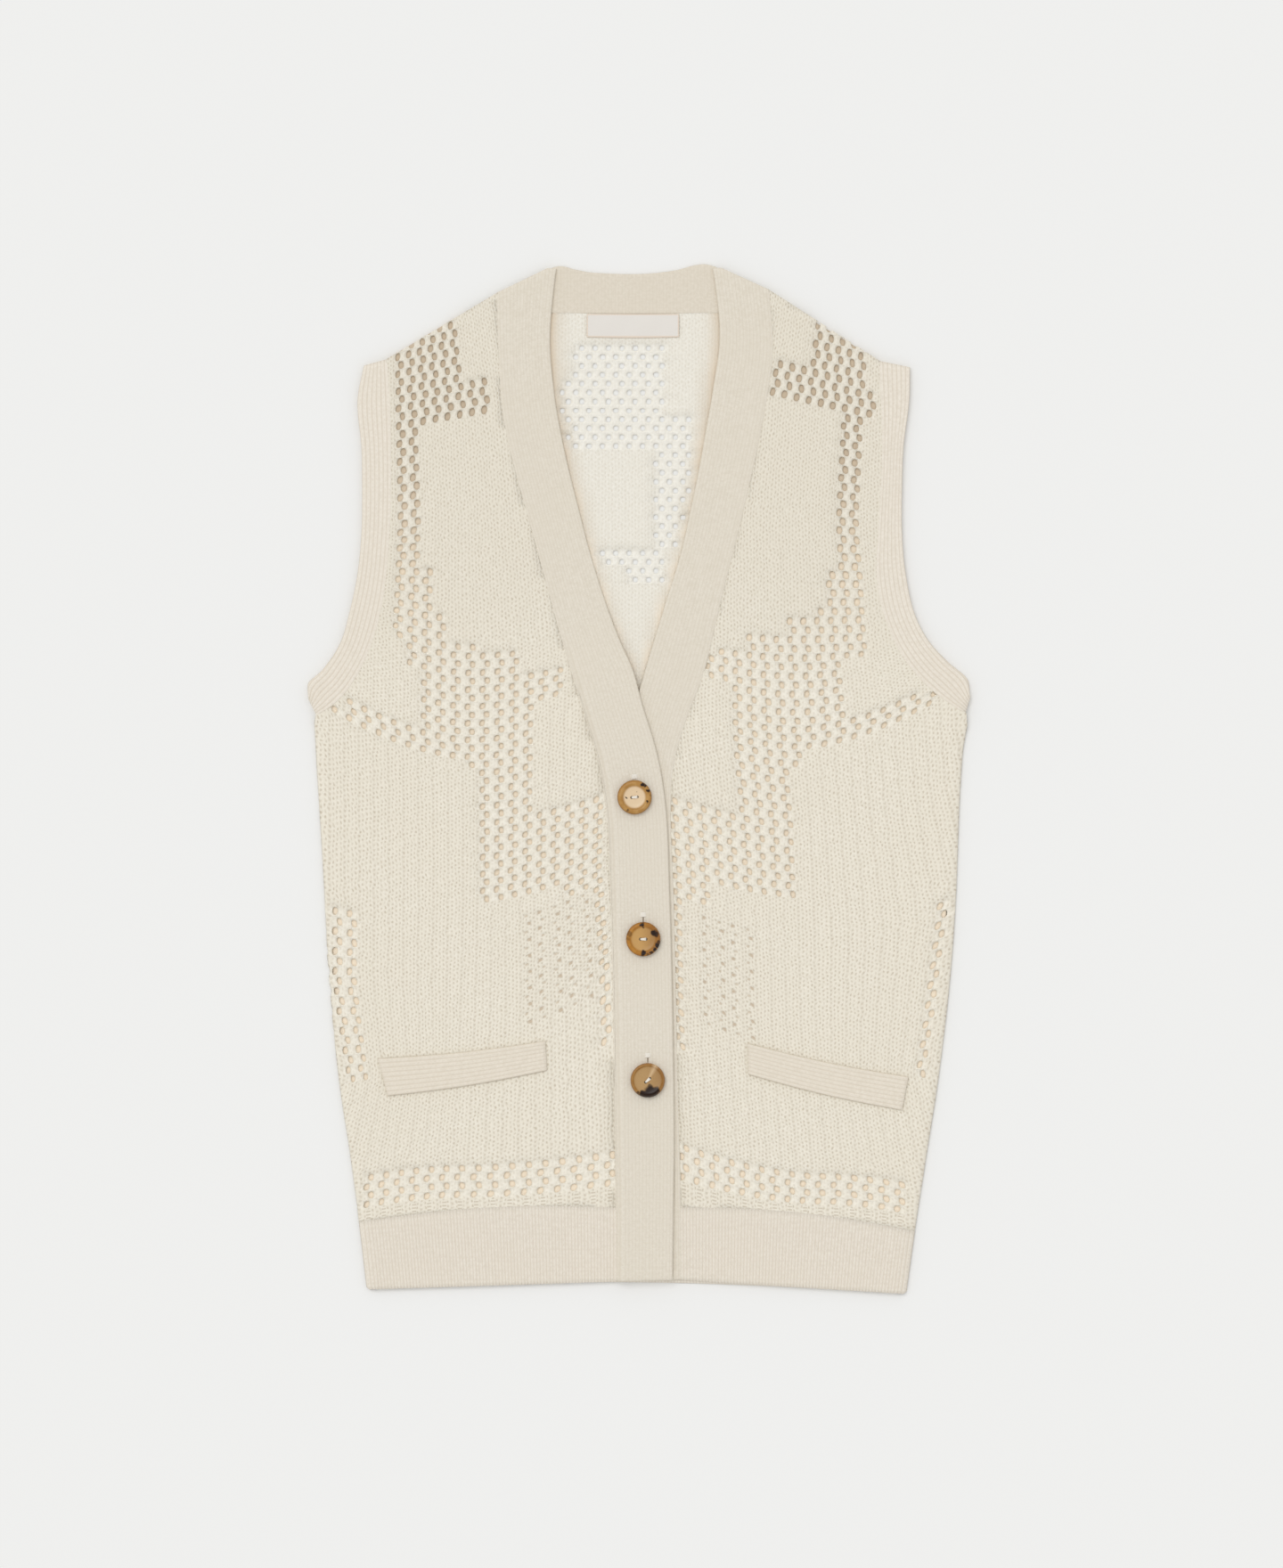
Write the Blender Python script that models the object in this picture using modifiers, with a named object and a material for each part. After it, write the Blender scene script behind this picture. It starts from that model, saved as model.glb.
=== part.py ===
"""A cashmere sweater vest, buttoned and laid flat on a table.

The vest is knitted in bands of plain stitch and openwork, with a ribbed hem,
ribbed armhole bands, a wide folded front band that runs up round the neck,
two pocket welts and three horn buttons.  The back lies flat on the table, the
two fronts lie on it, and the right front band laps over the left one.

Sizes are in millimetres.  Across, they are taken outwards from the centre
front; up, they are taken from the lowest corner of the hem.  The model is
written in metres with the middle of its underside at the origin.
"""
import math
from collections import namedtuple

import bmesh
import bpy
from mathutils import Matrix, Vector

MM = 0.001
HEIGHT_MIDDLE = 323.6        # half of the vest's length, hem to neck

# Thicknesses of the cloth and the air between pieces that touch.
GAP = 0.3
SEAM_GAP = 0.35
BODY_WALL = 2.0
RIB_WALL = 2.0
BAND_WALL = 2.4
WELT_WALL = 1.8
RIB_RISE = 0.35
BAND_RIB_RISE = 0.25
RIB_PITCH = 2.35

FRONT_UNDERSIDE = BODY_WALL + GAP
FRONT_PUFF = 1.6             # how far the fronts stand up between their edges
SIDE_FOLD_SHARE = 0.155      # a soft trough runs up each front beside its pocket
SIDE_FOLD_WIDTH = 0.05
SIDE_FOLD_DEPTH = 0.85
SIDE_FOLD_TOP = 5.0
FOLD_RADIUS = 5.3            # the side fold, where the front turns down to the back
FOLD_CLEARANCE = 0.3         # from the table to the lower lip of that fold
BACK_INSET = 5.7             # the back's edge, inside the fold

# The lapped front band climbs on to the band below it just inside its seam.
LAP_UNDERSIDE = FRONT_UNDERSIDE + BAND_WALL + BAND_RIB_RISE + GAP
LAP_START = 0.04
LAP_REACHED = 0.14

# The rounded edges of a ribbed strip, as shares of its width.
TOP_EDGE = 0.02
LOWER_EDGE = 0.03

# One row for each section across half of the vest, from the hem to the
# shoulder.  "side" is the side fold and then the armhole seam, "seam" joins
# the front to its band, and "edge" is the band's free edge.  An edge beyond
# the centre front is negative.
Course = namedtuple("Course", "side_x side_y seam_x seam_y edge_x edge_y")
RIGHT_HALF = (
    Course(171.0, 3.0, 14.0, 8.0, -21.0, 9.0),
    Course(176.0, 45.0, 14.0, 54.0, -21.5, 54.0),
    Course(182.0, 90.0, 14.5, 95.0, -22.0, 95.0),
    Course(189.0, 137.0, 15.0, 140.0, -21.5, 140.0),
    Course(195.0, 200.0, 16.0, 200.0, -20.5, 200.0),
    Course(198.0, 255.0, 17.5, 252.0, -19.0, 252.0),
    Course(201.0, 305.0, 19.5, 300.0, -17.0, 302.0),
    Course(203.0, 338.0, 25.0, 334.0, -11.5, 338.0),
    Course(203.0, 364.0, 33.0, 362.0, -2.0, 370.0),
    Course(192.0, 371.0, 40.0, 384.0, 4.0, 392.0),
    Course(182.0, 382.0, 46.0, 404.0, 12.0, 410.0),
    Course(172.0, 400.0, 53.0, 428.0, 21.0, 434.0),
    Course(165.0, 420.0, 61.0, 458.0, 31.0, 466.0),
    Course(160.0, 446.0, 69.0, 487.0, 38.5, 495.0),
    Course(157.5, 475.0, 76.0, 512.0, 45.0, 521.0),
    Course(156.5, 500.0, 82.0, 536.0, 50.0, 545.0),
    Course(156.5, 530.0, 86.0, 560.0, 53.5, 567.0),
    Course(157.0, 558.0, 88.0, 593.0, 56.0, 602.0),
    Course(159.0, 587.0, 89.0, 629.0, 52.0, 647.0),
)
LEFT_HALF = (
    Course(167.5, 0.2, 27.0, 9.0, -8.0, 9.0),
    Course(173.0, 39.0, 27.0, 54.0, -8.0, 55.0),
    Course(181.0, 91.0, 27.0, 95.0, -8.0, 95.0),
    Course(188.0, 136.0, 27.0, 140.0, -8.0, 140.0),
    Course(195.0, 195.0, 27.0, 200.0, -8.0, 200.0),
    Course(199.0, 250.0, 26.5, 252.0, -8.0, 250.0),
    Course(201.0, 304.0, 22.5, 302.0, -9.0, 300.0),
    Course(203.0, 338.0, 23.5, 334.0, -9.0, 336.0),
    Course(205.0, 365.0, 29.5, 362.0, -4.0, 366.0),
    Course(186.0, 378.0, 38.0, 384.0, 2.0, 387.0),
    Course(172.0, 392.0, 44.0, 406.0, 9.0, 410.0),
    Course(161.0, 409.0, 50.0, 432.0, 17.0, 436.0),
    Course(153.0, 430.0, 57.0, 460.0, 26.0, 465.0),
    Course(149.5, 453.0, 63.5, 486.0, 32.0, 492.0),
    Course(150.5, 478.0, 69.0, 510.0, 37.0, 516.0),
    Course(152.0, 503.0, 74.5, 535.0, 41.5, 541.0),
    Course(153.0, 528.0, 79.5, 562.0, 46.5, 570.0),
    Course(152.5, 555.0, 83.5, 594.0, 50.5, 604.0),
    Course(151.0, 586.0, 81.0, 631.0, 46.0, 647.0),
)
HEM_TOP = 1                  # the row where the ribbed hem meets the front
HEM_BOW = 4.5                # how far that meeting line arches between its ends
UNDERARM = 8                 # the row where the side fold ends in the armhole
SHOULDER = len(RIGHT_HALF) - 1

# The free edge of each armhole band, a row for each course from the underarm up.
ArmEdge = namedtuple("ArmEdge", "x y")
RIGHT_ARMHOLE = (
    ArmEdge(208.0, 374.0), ArmEdge(207.0, 383.0), ArmEdge(198.0, 392.0),
    ArmEdge(188.0, 408.0), ArmEdge(182.0, 428.0), ArmEdge(177.0, 452.0),
    ArmEdge(174.5, 477.0), ArmEdge(174.0, 502.0), ArmEdge(174.5, 532.0),
    ArmEdge(177.0, 560.0), ArmEdge(173.0, 583.0),
)
LEFT_ARMHOLE = (
    ArmEdge(208.0, 375.0), ArmEdge(205.0, 386.0), ArmEdge(193.0, 397.0),
    ArmEdge(181.0, 411.0), ArmEdge(172.0, 430.0), ArmEdge(167.0, 455.0),
    ArmEdge(165.0, 479.0), ArmEdge(165.0, 505.0), ArmEdge(166.0, 532.0),
    ArmEdge(169.5, 560.0), ArmEdge(170.0, 582.0),
)
ARM_RIBS = 7
BACK_ARM_PEEP = 1.2          # how far the back half shows past the front one

# The back of the neckband, a row for each section across it.
NeckRow = namedtuple("NeckRow", "x lower upper")
NECKBAND = (
    NeckRow(-98.0, 617.5, 622.0), NeckRow(-88.0, 617.5, 628.0),
    NeckRow(-70.0, 617.5, 637.0), NeckRow(-52.0, 617.5, 645.5),
    NeckRow(-40.0, 617.3, 643.5), NeckRow(-27.0, 617.0, 641.5),
    NeckRow(0.0, 616.8, 640.8), NeckRow(22.0, 617.0, 643.0),
    NeckRow(36.0, 617.4, 646.5), NeckRow(46.0, 617.5, 646.0),
    NeckRow(64.0, 617.5, 637.5), NeckRow(81.0, 617.5, 629.5),
    NeckRow(96.0, 617.5, 621.5),
)
NECKLINE = 616.3             # the back's top edge, just under its band
BACK_SHOULDER_SLOPE = 0.6

# The openwork follows a net of wales and courses.  Each row says where one
# course of the net runs: its middle wale, the distance between wales on both
# sides of it, its tilt up towards the band for each wale, and how far it has
# risen nine wales away at the side and at the band.
NetRow = namedtuple("NetRow", "course x y side_pitch band_pitch tilt side_rise band_rise")
RIGHT_NET = (
    NetRow(-42, 115.5, 603.0, 6.8, 6.8, 1.8, 0.0, 0.0),
    NetRow(-34, 110.5, 558.5, 7.6, 7.6, 1.5, 0.0, 0.0),
    NetRow(-22, 106.0, 488.5, 8.2, 8.2, 0.0, -14.0, 0.0),
    NetRow(-8, 104.5, 406.0, 9.2, 9.2, 0.0, 23.0, 9.0),
    NetRow(0, 105.0, 363.5, 9.2, 9.2, 0.0, 28.0, 18.0),
    NetRow(5, 105.0, 337.5, 9.3, 9.1, 0.0, 29.0, 17.0),
    NetRow(14, 104.5, 290.0, 9.3, 8.9, 0.0, 22.0, 15.5),
    NetRow(22, 104.5, 247.5, 9.3, 8.8, 0.0, 13.0, 20.5),
    NetRow(36, 106.5, 174.0, 9.3, 9.9, 0.0, 4.0, 31.0),
    NetRow(54, 111.5, 79.0, 9.5, 10.5, 0.0, -12.0, 8.0),
    NetRow(58, 111.5, 57.0, 9.5, 10.5, 0.0, -12.0, 7.0),
)
LEFT_NET = (
    NetRow(-42, 107.0, 604.0, 7.0, 7.0, 1.9, 0.0, 0.0),
    NetRow(-34, 100.5, 557.0, 7.7, 7.6, 1.7, 0.0, 0.0),
    NetRow(-22, 95.5, 487.0, 8.1, 8.1, 0.0, -7.0, 0.0),
    NetRow(-8, 97.5, 405.0, 8.8, 8.6, 0.0, 5.0, 9.5),
    NetRow(0, 99.5, 359.5, 9.4, 9.1, 0.0, 25.0, 17.0),
    NetRow(4, 100.5, 338.5, 9.4, 9.2, 0.0, 29.0, 20.0),
    NetRow(12, 104.0, 294.5, 9.4, 9.2, 0.0, 23.0, 15.5),
    NetRow(20, 105.5, 250.5, 9.6, 9.1, 0.0, 14.0, 16.5),
    NetRow(36, 107.5, 166.0, 9.6, 9.2, 0.0, 10.0, 22.0),
    NetRow(54, 115.0, 74.0, 10.0, 9.5, 0.0, -14.0, 18.0),
    NetRow(58, 115.0, 53.0, 10.0, 9.5, 0.0, -14.0, 14.0),
)
NET_REACH = 9                # wales from the middle to where the rises are given
NET_BEND = 1.7               # how sharply a course rises towards its ends
ZIGZAG = 2.8                 # every other row of holes steps sideways

# The largest holes of the openwork, the only ones that are cut here.  Each row
# gives the first and last course, and the wales nearest the band and the side.
Openwork = namedtuple("Openwork", "first last band_wale side_wale")
RIGHT_OPENWORK = (
    Openwork(-15, -12, 3, 5),    # steps beside the armhole
    Openwork(-11, -9, 2, 5),
    Openwork(3, 5, 3, 11),       # course band below the armhole
    Openwork(25, 42, 8, 9),      # side strip
    Openwork(54, 57, -9, 7),     # band above the hem
)
LEFT_OPENWORK = (
    Openwork(-15, -12, 3, 5),
    Openwork(-11, -9, 1, 5),
    Openwork(1, 3, 4, 11),
    Openwork(25, 42, 8, 9),
    Openwork(54, 57, -9, 6),
)
HOLE_WIDTH = 0.54            # share of the distance between wales
HOLE_HEIGHT = 0.84           # share of the distance between courses
HOLE_SIDES = 6
HOLE_MARGIN = 7.0            # holes stop this far from the side fold or armhole
BAND_MARGIN = 3.6            # and this far from the band

# Pocket welts: their corners on the fronts, band end first, top then bottom.
Welt = namedtuple("Welt", "band_top band_bottom side_bottom side_top")
RIGHT_WELT = Welt((59.0, 159.0), (58.0, 140.5), (158.0, 124.5), (164.0, 148.0))
LEFT_WELT = Welt((68.0, 157.5), (68.5, 138.0), (165.0, 115.5), (169.0, 136.5))
WELT_RIBS = 8
WELT_BOW = 1.6               # how far a welt sags between its ends

# Buttons: 34 ligne, with a raised rim, a dished middle and two thread holes.
BUTTON_RADIUS = 10.8
BUTTON_PLACES = ((-3.0, 312.0), (2.5, 223.0), (5.3, 134.5))
BUTTON_TURNS = (0.1, 0.0, 0.75)
BUTTON_SECTION = (           # radius and height of the turned profile
    (10.8, 1.3), (10.3, 3.0), (9.2, 3.8), (7.9, 3.5), (7.2, 2.6), (0.0, 2.3),
)
BUTTON_FOOT = 8.6
BUTTON_STEPS = 24
THREAD_HOLE_RADIUS = 0.95
THREAD_HOLE_SPACING = 3.4

# Neck label: a bare woven tape under the back of the neckband.
LABEL_LEFT = -33.0
LABEL_RIGHT = 25.0
LABEL_TOP = 615.5
LABEL_BOTTOM = 601.0
LABEL_WALL = 0.6


# ---------------------------------------------------------------- helpers

def clear_scene():
    for old in list(bpy.data.objects):
        bpy.data.objects.remove(old, do_unlink=True)


def new_collection(name):
    collection = bpy.data.collections.new(name)
    bpy.context.scene.collection.children.link(collection)
    return collection


def new_material(name, colour, roughness):
    material = bpy.data.materials.new(name)
    material.use_nodes = True
    shader = material.node_tree.nodes["Principled BSDF"]
    shader.inputs["Base Color"].default_value = (*colour, 1.0)
    shader.inputs["Roughness"].default_value = roughness
    shader.inputs["Metallic"].default_value = 0.0
    return material


def place(x, y, z):
    """A point in metres from sizes in millimetres, about the vest's middle."""
    return Vector((x * MM, (y - HEIGHT_MIDDLE) * MM, z * MM))


def new_object(name, bm, material, collection):
    mesh = bpy.data.meshes.new(name)
    bm.to_mesh(mesh)
    bm.free()
    mesh.materials.append(material)
    made = bpy.data.objects.new(name, mesh)
    collection.objects.link(made)
    return made


def curve_through(values, at):
    """A smooth curve through evenly numbered values."""
    last = len(values) - 1
    at = min(max(at, 0.0), float(last))
    left = min(int(at), last - 1)
    share = at - left
    a, b = values[left], values[left + 1]
    before = values[left - 1] if left > 0 else 2.0 * a - b
    after = values[left + 2] if left + 2 <= last else 2.0 * b - a
    slope_a, slope_b = (b - before) / 2.0, (after - a) / 2.0
    square, cube = share * share, share ** 3
    return ((2 * cube - 3 * square + 1) * a + (cube - 2 * square + share) * slope_a
            + (3 * square - 2 * cube) * b + (cube - square) * slope_b)


def course_value(rows, column, at):
    return curve_through([getattr(row, column) for row in rows], at)


def straight_through(pairs, at):
    """Straight lines through (place, value) pairs in rising order of place."""
    if at <= pairs[0][0]:
        return pairs[0][1]
    for (low, low_value), (high, high_value) in zip(pairs, pairs[1:]):
        if at <= high:
            return low_value + (high_value - low_value) * (at - low) / (high - low)
    return pairs[-1][1]


def mix(a, b, share):
    return a + (b - a) * share


def smooth_step(low, high, at):
    share = min(max((at - low) / (high - low), 0.0), 1.0)
    return share * share * (3.0 - 2.0 * share)


def loft(name, rings, material, collection):
    """A closed solid through rings of points, all with the same count."""
    bm = bmesh.new()
    made = [[bm.verts.new(point) for point in ring] for ring in rings]
    count = len(made[0])
    for ring, following in zip(made, made[1:]):
        for i in range(count):
            j = (i + 1) % count
            bm.faces.new((ring[i], ring[j], following[j], following[i]))
    caps = [bm.faces.new(made[0]), bm.faces.new(made[-1])]
    bmesh.ops.recalc_face_normals(bm, faces=bm.faces)
    bmesh.ops.triangulate(bm, faces=caps, ngon_method="BEAUTY")
    return new_object(name, bm, material, collection)


def ribbed_ring(start, end, underside, wall, ribs, rise, bends=()):
    """A ring round a strip's section, ribbed on top and plain underneath.

    start and end are (x, y) points on the strip's two edges, and underside
    gives the height of its lower face at a share of the way between them.
    bends are the shares, from the end back, where that face turns.
    """
    def point(share, height):
        return place(mix(start[0], end[0], share), mix(start[1], end[1], share), height)

    steps = 2 * ribs
    ring = [point(0.0, underside(0.0) + 0.5 * wall)]
    for step in range(steps + 1):
        share = mix(TOP_EDGE, 1.0 - TOP_EDGE, step / steps)
        lift = rise if step % 2 else 0.0
        ring.append(point(share, underside(share) + wall + lift))
    ring.append(point(1.0, underside(1.0) + 0.5 * wall))
    for share in (1.0 - LOWER_EDGE, *bends, LOWER_EDGE):
        ring.append(point(share, underside(share)))
    return ring


# ---------------------------------------------------------------- the fronts

def hem_bow(course):
    """How far a section arches up between its ends, most where the hem is joined."""
    return HEM_BOW * smooth_step(0.0, HEM_TOP, course) * (1.0 - smooth_step(HEM_TOP, 3.0, course))


def fold_height(distance, height):
    """Height of a surface that turns down to the table at the side fold."""
    if distance >= FOLD_RADIUS:
        return height
    share = 1.0 - max(distance, 0.0) / FOLD_RADIUS
    return FOLD_CLEARANCE + (height - FOLD_CLEARANCE) * math.sqrt(1.0 - share * share)


def front_underside(course, share):
    """Height of a front's lower face; share runs from its side to its band."""
    along = (course - HEM_TOP) / (SHOULDER - HEM_TOP)
    puff = FRONT_PUFF * math.sin(math.pi * min(max(along, 0.0), 1.0)) ** 0.5
    puff *= math.sin(math.pi * min(max(share, 0.0), 1.0))
    fold_length = 1.0 - smooth_step(SIDE_FOLD_TOP - 1.0, SIDE_FOLD_TOP, course)
    fold = math.exp(-((share - SIDE_FOLD_SHARE) / SIDE_FOLD_WIDTH) ** 2)
    return FRONT_UNDERSIDE + puff * (1.0 - SIDE_FOLD_DEPTH * fold_length * fold)


def front_point(half, sign, course, distance_share):
    """A point of a front's lower face, and the share across that it lies at."""
    side = (course_value(half, "side_x", course), course_value(half, "side_y", course))
    seam = (course_value(half, "seam_x", course), course_value(half, "seam_y", course))
    folded = 1.0 - smooth_step(UNDERARM - 0.6, UNDERARM, course)
    inner_edge = side[0] - 0.8 * BODY_WALL * folded
    x = mix(inner_edge, seam[0], distance_share)
    share = (side[0] - x) / (side[0] - seam[0])
    y = mix(side[1], seam[1], share) + hem_bow(course) * math.sin(math.pi * share)
    height = front_underside(course, distance_share)
    turned = fold_height(inner_edge - x, height)
    return place(sign * x, y, mix(height, turned, folded))


FRONT_COLUMNS = (0.0, 0.006, 0.016, 0.034, 0.1, 0.155, 0.21, 0.32, 0.45, 0.58, 0.72, 0.86, 1.0)


def make_front(name, half, sign, material, collection):
    """One front: a flat grid laid out between its side, band, hem and shoulder."""
    columns = len(FRONT_COLUMNS) - 1
    rows = SHOULDER - HEM_TOP
    bm = bmesh.new()
    bmesh.ops.create_grid(bm, x_segments=columns, y_segments=rows, size=1.0)
    for vertex in bm.verts:
        column = round((vertex.co.x + 1.0) / 2.0 * columns)
        row = round((vertex.co.y + 1.0) / 2.0 * rows)
        vertex.co = front_point(half, sign, HEM_TOP + row, FRONT_COLUMNS[column])
    if sign > 0:
        bmesh.ops.reverse_faces(bm, faces=bm.faces)
    front = new_object(name, bm, material, collection)
    wall = front.modifiers.new("wall", "SOLIDIFY")
    wall.thickness = BODY_WALL * MM
    wall.offset = 1.0
    return front


# ---------------------------------------------------------------- openwork

def net_value(net, column, course):
    pairs = [(row.course, getattr(row, column)) for row in net]
    return straight_through(pairs, course)


def net_point(net, wale, course):
    """Where a wale and a course of the knitting cross."""
    towards_side = wale > 0
    pitch = net_value(net, "side_pitch" if towards_side else "band_pitch", course)
    rise = net_value(net, "side_rise" if towards_side else "band_rise", course)
    x = net_value(net, "x", course) + wale * pitch
    y = net_value(net, "y", course) - wale * net_value(net, "tilt", course)
    y += rise * (abs(wale) / NET_REACH) ** NET_BEND
    return x, y, pitch


def edges_at(half, height):
    """The side or armhole and the band seam at one height up a front."""
    courses = [HEM_TOP + step * 0.25 for step in range(4 * (SHOULDER - HEM_TOP) + 1)]
    side = [(course_value(half, "side_y", c), course_value(half, "side_x", c)) for c in courses]
    seam = [(course_value(half, "seam_y", c), course_value(half, "seam_x", c)) for c in courses]
    return straight_through(side, height), straight_through(seam, height)


def make_hole_cutter(name, half, net, openwork, sign, cutters):
    """All the holes of one front as upright prisms."""
    bm = bmesh.new()
    for block in openwork:
        for course in range(block.first, block.last + 1):
            for wale in range(block.band_wale, block.side_wale + 1):
                x, y, pitch = net_point(net, wale, course)
                above = net_point(net, wale, course - 1)[1]
                if course % 2:
                    x -= sign * ZIGZAG
                side, seam = edges_at(half, y)
                if not seam + BAND_MARGIN < x < side - HOLE_MARGIN:
                    continue
                across = pitch * HOLE_WIDTH / 2.0 * MM
                along = (above - y) * HOLE_HEIGHT / 2.0 * MM
                shape = Matrix.LocRotScale(place(sign * x, y, 0.0), None, (across, along, MM))
                turn = Matrix.Rotation(math.pi / HOLE_SIDES, 4, "Z")
                bmesh.ops.create_cone(bm, cap_ends=True, segments=HOLE_SIDES, radius1=1.0,
                                      radius2=1.0, depth=40.0, matrix=shape @ turn)
    mesh = bpy.data.meshes.new(name)
    bm.to_mesh(mesh)
    bm.free()
    cutter = bpy.data.objects.new(name, mesh)
    cutter.display_type = "WIRE"
    cutter.hide_render = True
    cutters.objects.link(cutter)
    return cutter


def cut(solid, cutter):
    boolean = solid.modifiers.new("cut", "BOOLEAN")
    boolean.operation = "DIFFERENCE"
    boolean.solver = "EXACT"
    boolean.object = cutter


# ---------------------------------------------------------------- the back

BACK_COLUMNS = 14


def back_top(x, half):
    """The back's shoulder line and neckline."""
    shoulder = half[SHOULDER]
    inside = shoulder.side_x - abs(x)
    return min(shoulder.side_y + BACK_SHOULDER_SLOPE * inside, NECKLINE)


def make_back(material, collection):
    """The back: one flat grid from side to side, resting on the table."""
    rows = SHOULDER - HEM_TOP
    bm = bmesh.new()
    bmesh.ops.create_grid(bm, x_segments=BACK_COLUMNS, y_segments=rows, size=1.0)
    for vertex in bm.verts:
        share = (vertex.co.x + 1.0) / 2.0
        course = HEM_TOP + round((vertex.co.y + 1.0) / 2.0 * rows)
        inset = BACK_INSET * (1.0 - smooth_step(UNDERARM - 0.6, UNDERARM + 1.0, course))
        ends = []
        for half, sign in ((RIGHT_HALF, -1.0), (LEFT_HALF, 1.0)):
            side_x = course_value(half, "side_x", course) - inset
            ends.append((sign * side_x, course_value(half, "side_y", course)))
        x = mix(ends[0][0], ends[1][0], share)
        y = mix(ends[0][1], ends[1][1], share)
        if course == SHOULDER:
            y = back_top(x, RIGHT_HALF if x < 0 else LEFT_HALF)
        vertex.co = place(x, y, 0.0)
    back = new_object("back", bm, material, collection)
    wall = back.modifiers.new("wall", "SOLIDIFY")
    wall.thickness = BODY_WALL * MM
    wall.offset = 1.0
    return back


# ---------------------------------------------------------------- ribbed hem

def make_front_hem(name, half, sign, material, collection):
    """A ribbed hem below a front, in three sections from its lower edge up."""
    rings = []
    for course, trim, drop in ((0.0, 0.0, 0.6), (0.1, 0.0, 0.0), (1.0, SEAM_GAP, 0.0)):
        side = (course_value(half, "side_x", course), course_value(half, "side_y", course))
        seam = (course_value(half, "seam_x", course), course_value(half, "seam_y", course))
        width = side[0] - seam[0]
        bow = hem_bow(course)
        ribs = round((half[0].side_x - half[0].seam_x) / RIB_PITCH)

        def point(inside, height):
            share = inside / width
            y = mix(side[1], seam[1], share) - trim + bow * math.sin(math.pi * share)
            return place(sign * (side[0] - inside), y, height)

        top = FRONT_UNDERSIDE + RIB_WALL - drop
        ring = [point(0.0, FOLD_CLEARANCE)]
        for step in range(1, 2 * ribs + 1):
            inside = width * step / (2 * ribs)
            lift = RIB_RISE if step % 2 else 0.0
            ring.append(point(inside, fold_height(inside, top + lift)))
        for inside, height in ((width, FRONT_UNDERSIDE), (0.5 * width, FRONT_UNDERSIDE),
                               (FOLD_RADIUS + 0.3, FRONT_UNDERSIDE), (2.0, FOLD_CLEARANCE)):
            ring.append(point(inside, height))
        rings.append(ring)
    return loft(name, rings, material, collection)


def make_back_hem(material, collection):
    """The back's ribbed hem, plain where it rests on the table."""
    right_low, right_high = RIGHT_HALF[0], RIGHT_HALF[HEM_TOP]
    left_low, left_high = LEFT_HALF[0], LEFT_HALF[HEM_TOP]
    rings = []
    for share in (0.0, 0.15, 0.3, 0.5, 0.7, 0.85, 1.0):
        low_x = mix(-right_low.side_x + BACK_INSET, left_low.side_x - BACK_INSET, share)
        high_x = mix(-right_high.side_x + BACK_INSET, left_high.side_x - BACK_INSET, share)
        bow = math.sin(math.pi * share)
        low_y = mix(right_low.side_y, left_low.side_y, share) + 5.5 * bow
        high_y = mix(right_high.side_y, left_high.side_y, share) - SEAM_GAP
        rings.append([place(low_x, low_y, 0.0), place(high_x, high_y, 0.0),
                      place(high_x, high_y, RIB_WALL), place(low_x, low_y, RIB_WALL)])
    return loft("hem_rib_back", rings, material, collection)


# ---------------------------------------------------------------- bands

BAND_RIBS = 14
BAND_STATIONS = (0, 1, 3, 5, 6, 7, 8, 9, 10, 11, 12, 13, 14, 15, 16, 17, 18)


def lap_height(course, share):
    """Underside of the lapped band: over the other band, then down to the back."""
    lapped = 1.0 - smooth_step(UNDERARM + 0.2, UNDERARM + 3.5, course)
    climb = smooth_step(LAP_START, LAP_REACHED, share)
    seam_height = FRONT_UNDERSIDE + 0.3 * lapped
    return mix(seam_height, mix(FRONT_UNDERSIDE, LAP_UNDERSIDE, lapped), climb)


def make_front_band(name, half, sign, underside, bends, material, collection):
    """A front band: ribbed lengthwise, from the hem up to the shoulder fold."""
    rings = []
    for course in BAND_STATIONS:
        row = half[course]
        start = Vector((row.seam_x, row.seam_y))
        end = Vector((row.edge_x, row.edge_y))
        start += (end - start).normalized() * SEAM_GAP
        rings.append(ribbed_ring((sign * start.x, start.y), (sign * end.x, end.y),
                                 lambda share, c=course: underside(c, share),
                                 BAND_WALL, BAND_RIBS, BAND_RIB_RISE, bends))
    return loft(name, rings, material, collection)


def make_neckband(material, collection):
    """The back of the neckband, between the two shoulder folds."""
    rings = [[place(row.x, row.lower, 0.0), place(row.x, row.lower, 0.8 * BODY_WALL),
              place(row.x, row.lower + 0.8, BODY_WALL), place(row.x, row.upper - 0.8, BODY_WALL),
              place(row.x, row.upper, 0.5 * BODY_WALL), place(row.x, row.upper - 0.4, 0.0)]
             for row in NECKBAND]
    return loft("neckband_back", rings, material, collection)


def make_armhole_band(name, half, arm, sign, front, material, collection):
    """Half of an armhole band: the front half is ribbed, the back half lies flat."""
    rings = []
    for step, edge in enumerate(arm):
        row = half[UNDERARM + step]
        start = Vector((row.side_x, row.side_y))
        end = Vector(edge)
        across = (end - start).normalized()
        start += across * SEAM_GAP
        if front:
            ring = ribbed_ring((sign * start.x, start.y), (sign * end.x, end.y),
                               lambda share: FRONT_UNDERSIDE, RIB_WALL, ARM_RIBS, RIB_RISE)
        else:
            peep = BACK_ARM_PEEP * (1.0 - smooth_step(1.0, 4.0, step))
            end += across * peep * (1.0 if step else 0.0)
            corners = ((start, 0.0), (end - across, 0.0), (end, 0.5 * BODY_WALL),
                       (end - across, BODY_WALL), (start, BODY_WALL))
            ring = [place(sign * corner.x, corner.y, height) for corner, height in corners]
        rings.append(ring)
    return loft(name, rings, material, collection)


# ---------------------------------------------------------------- on the fronts

def front_share(half, x, y):
    """Course and share across a front of a point on it."""
    heights = [(mix(row.side_y, row.seam_y, 0.5), number) for number, row in enumerate(half)]
    course = straight_through(heights, y)
    side, seam = edges_at(half, y)
    return course, (side - x) / (side - seam)


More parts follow.
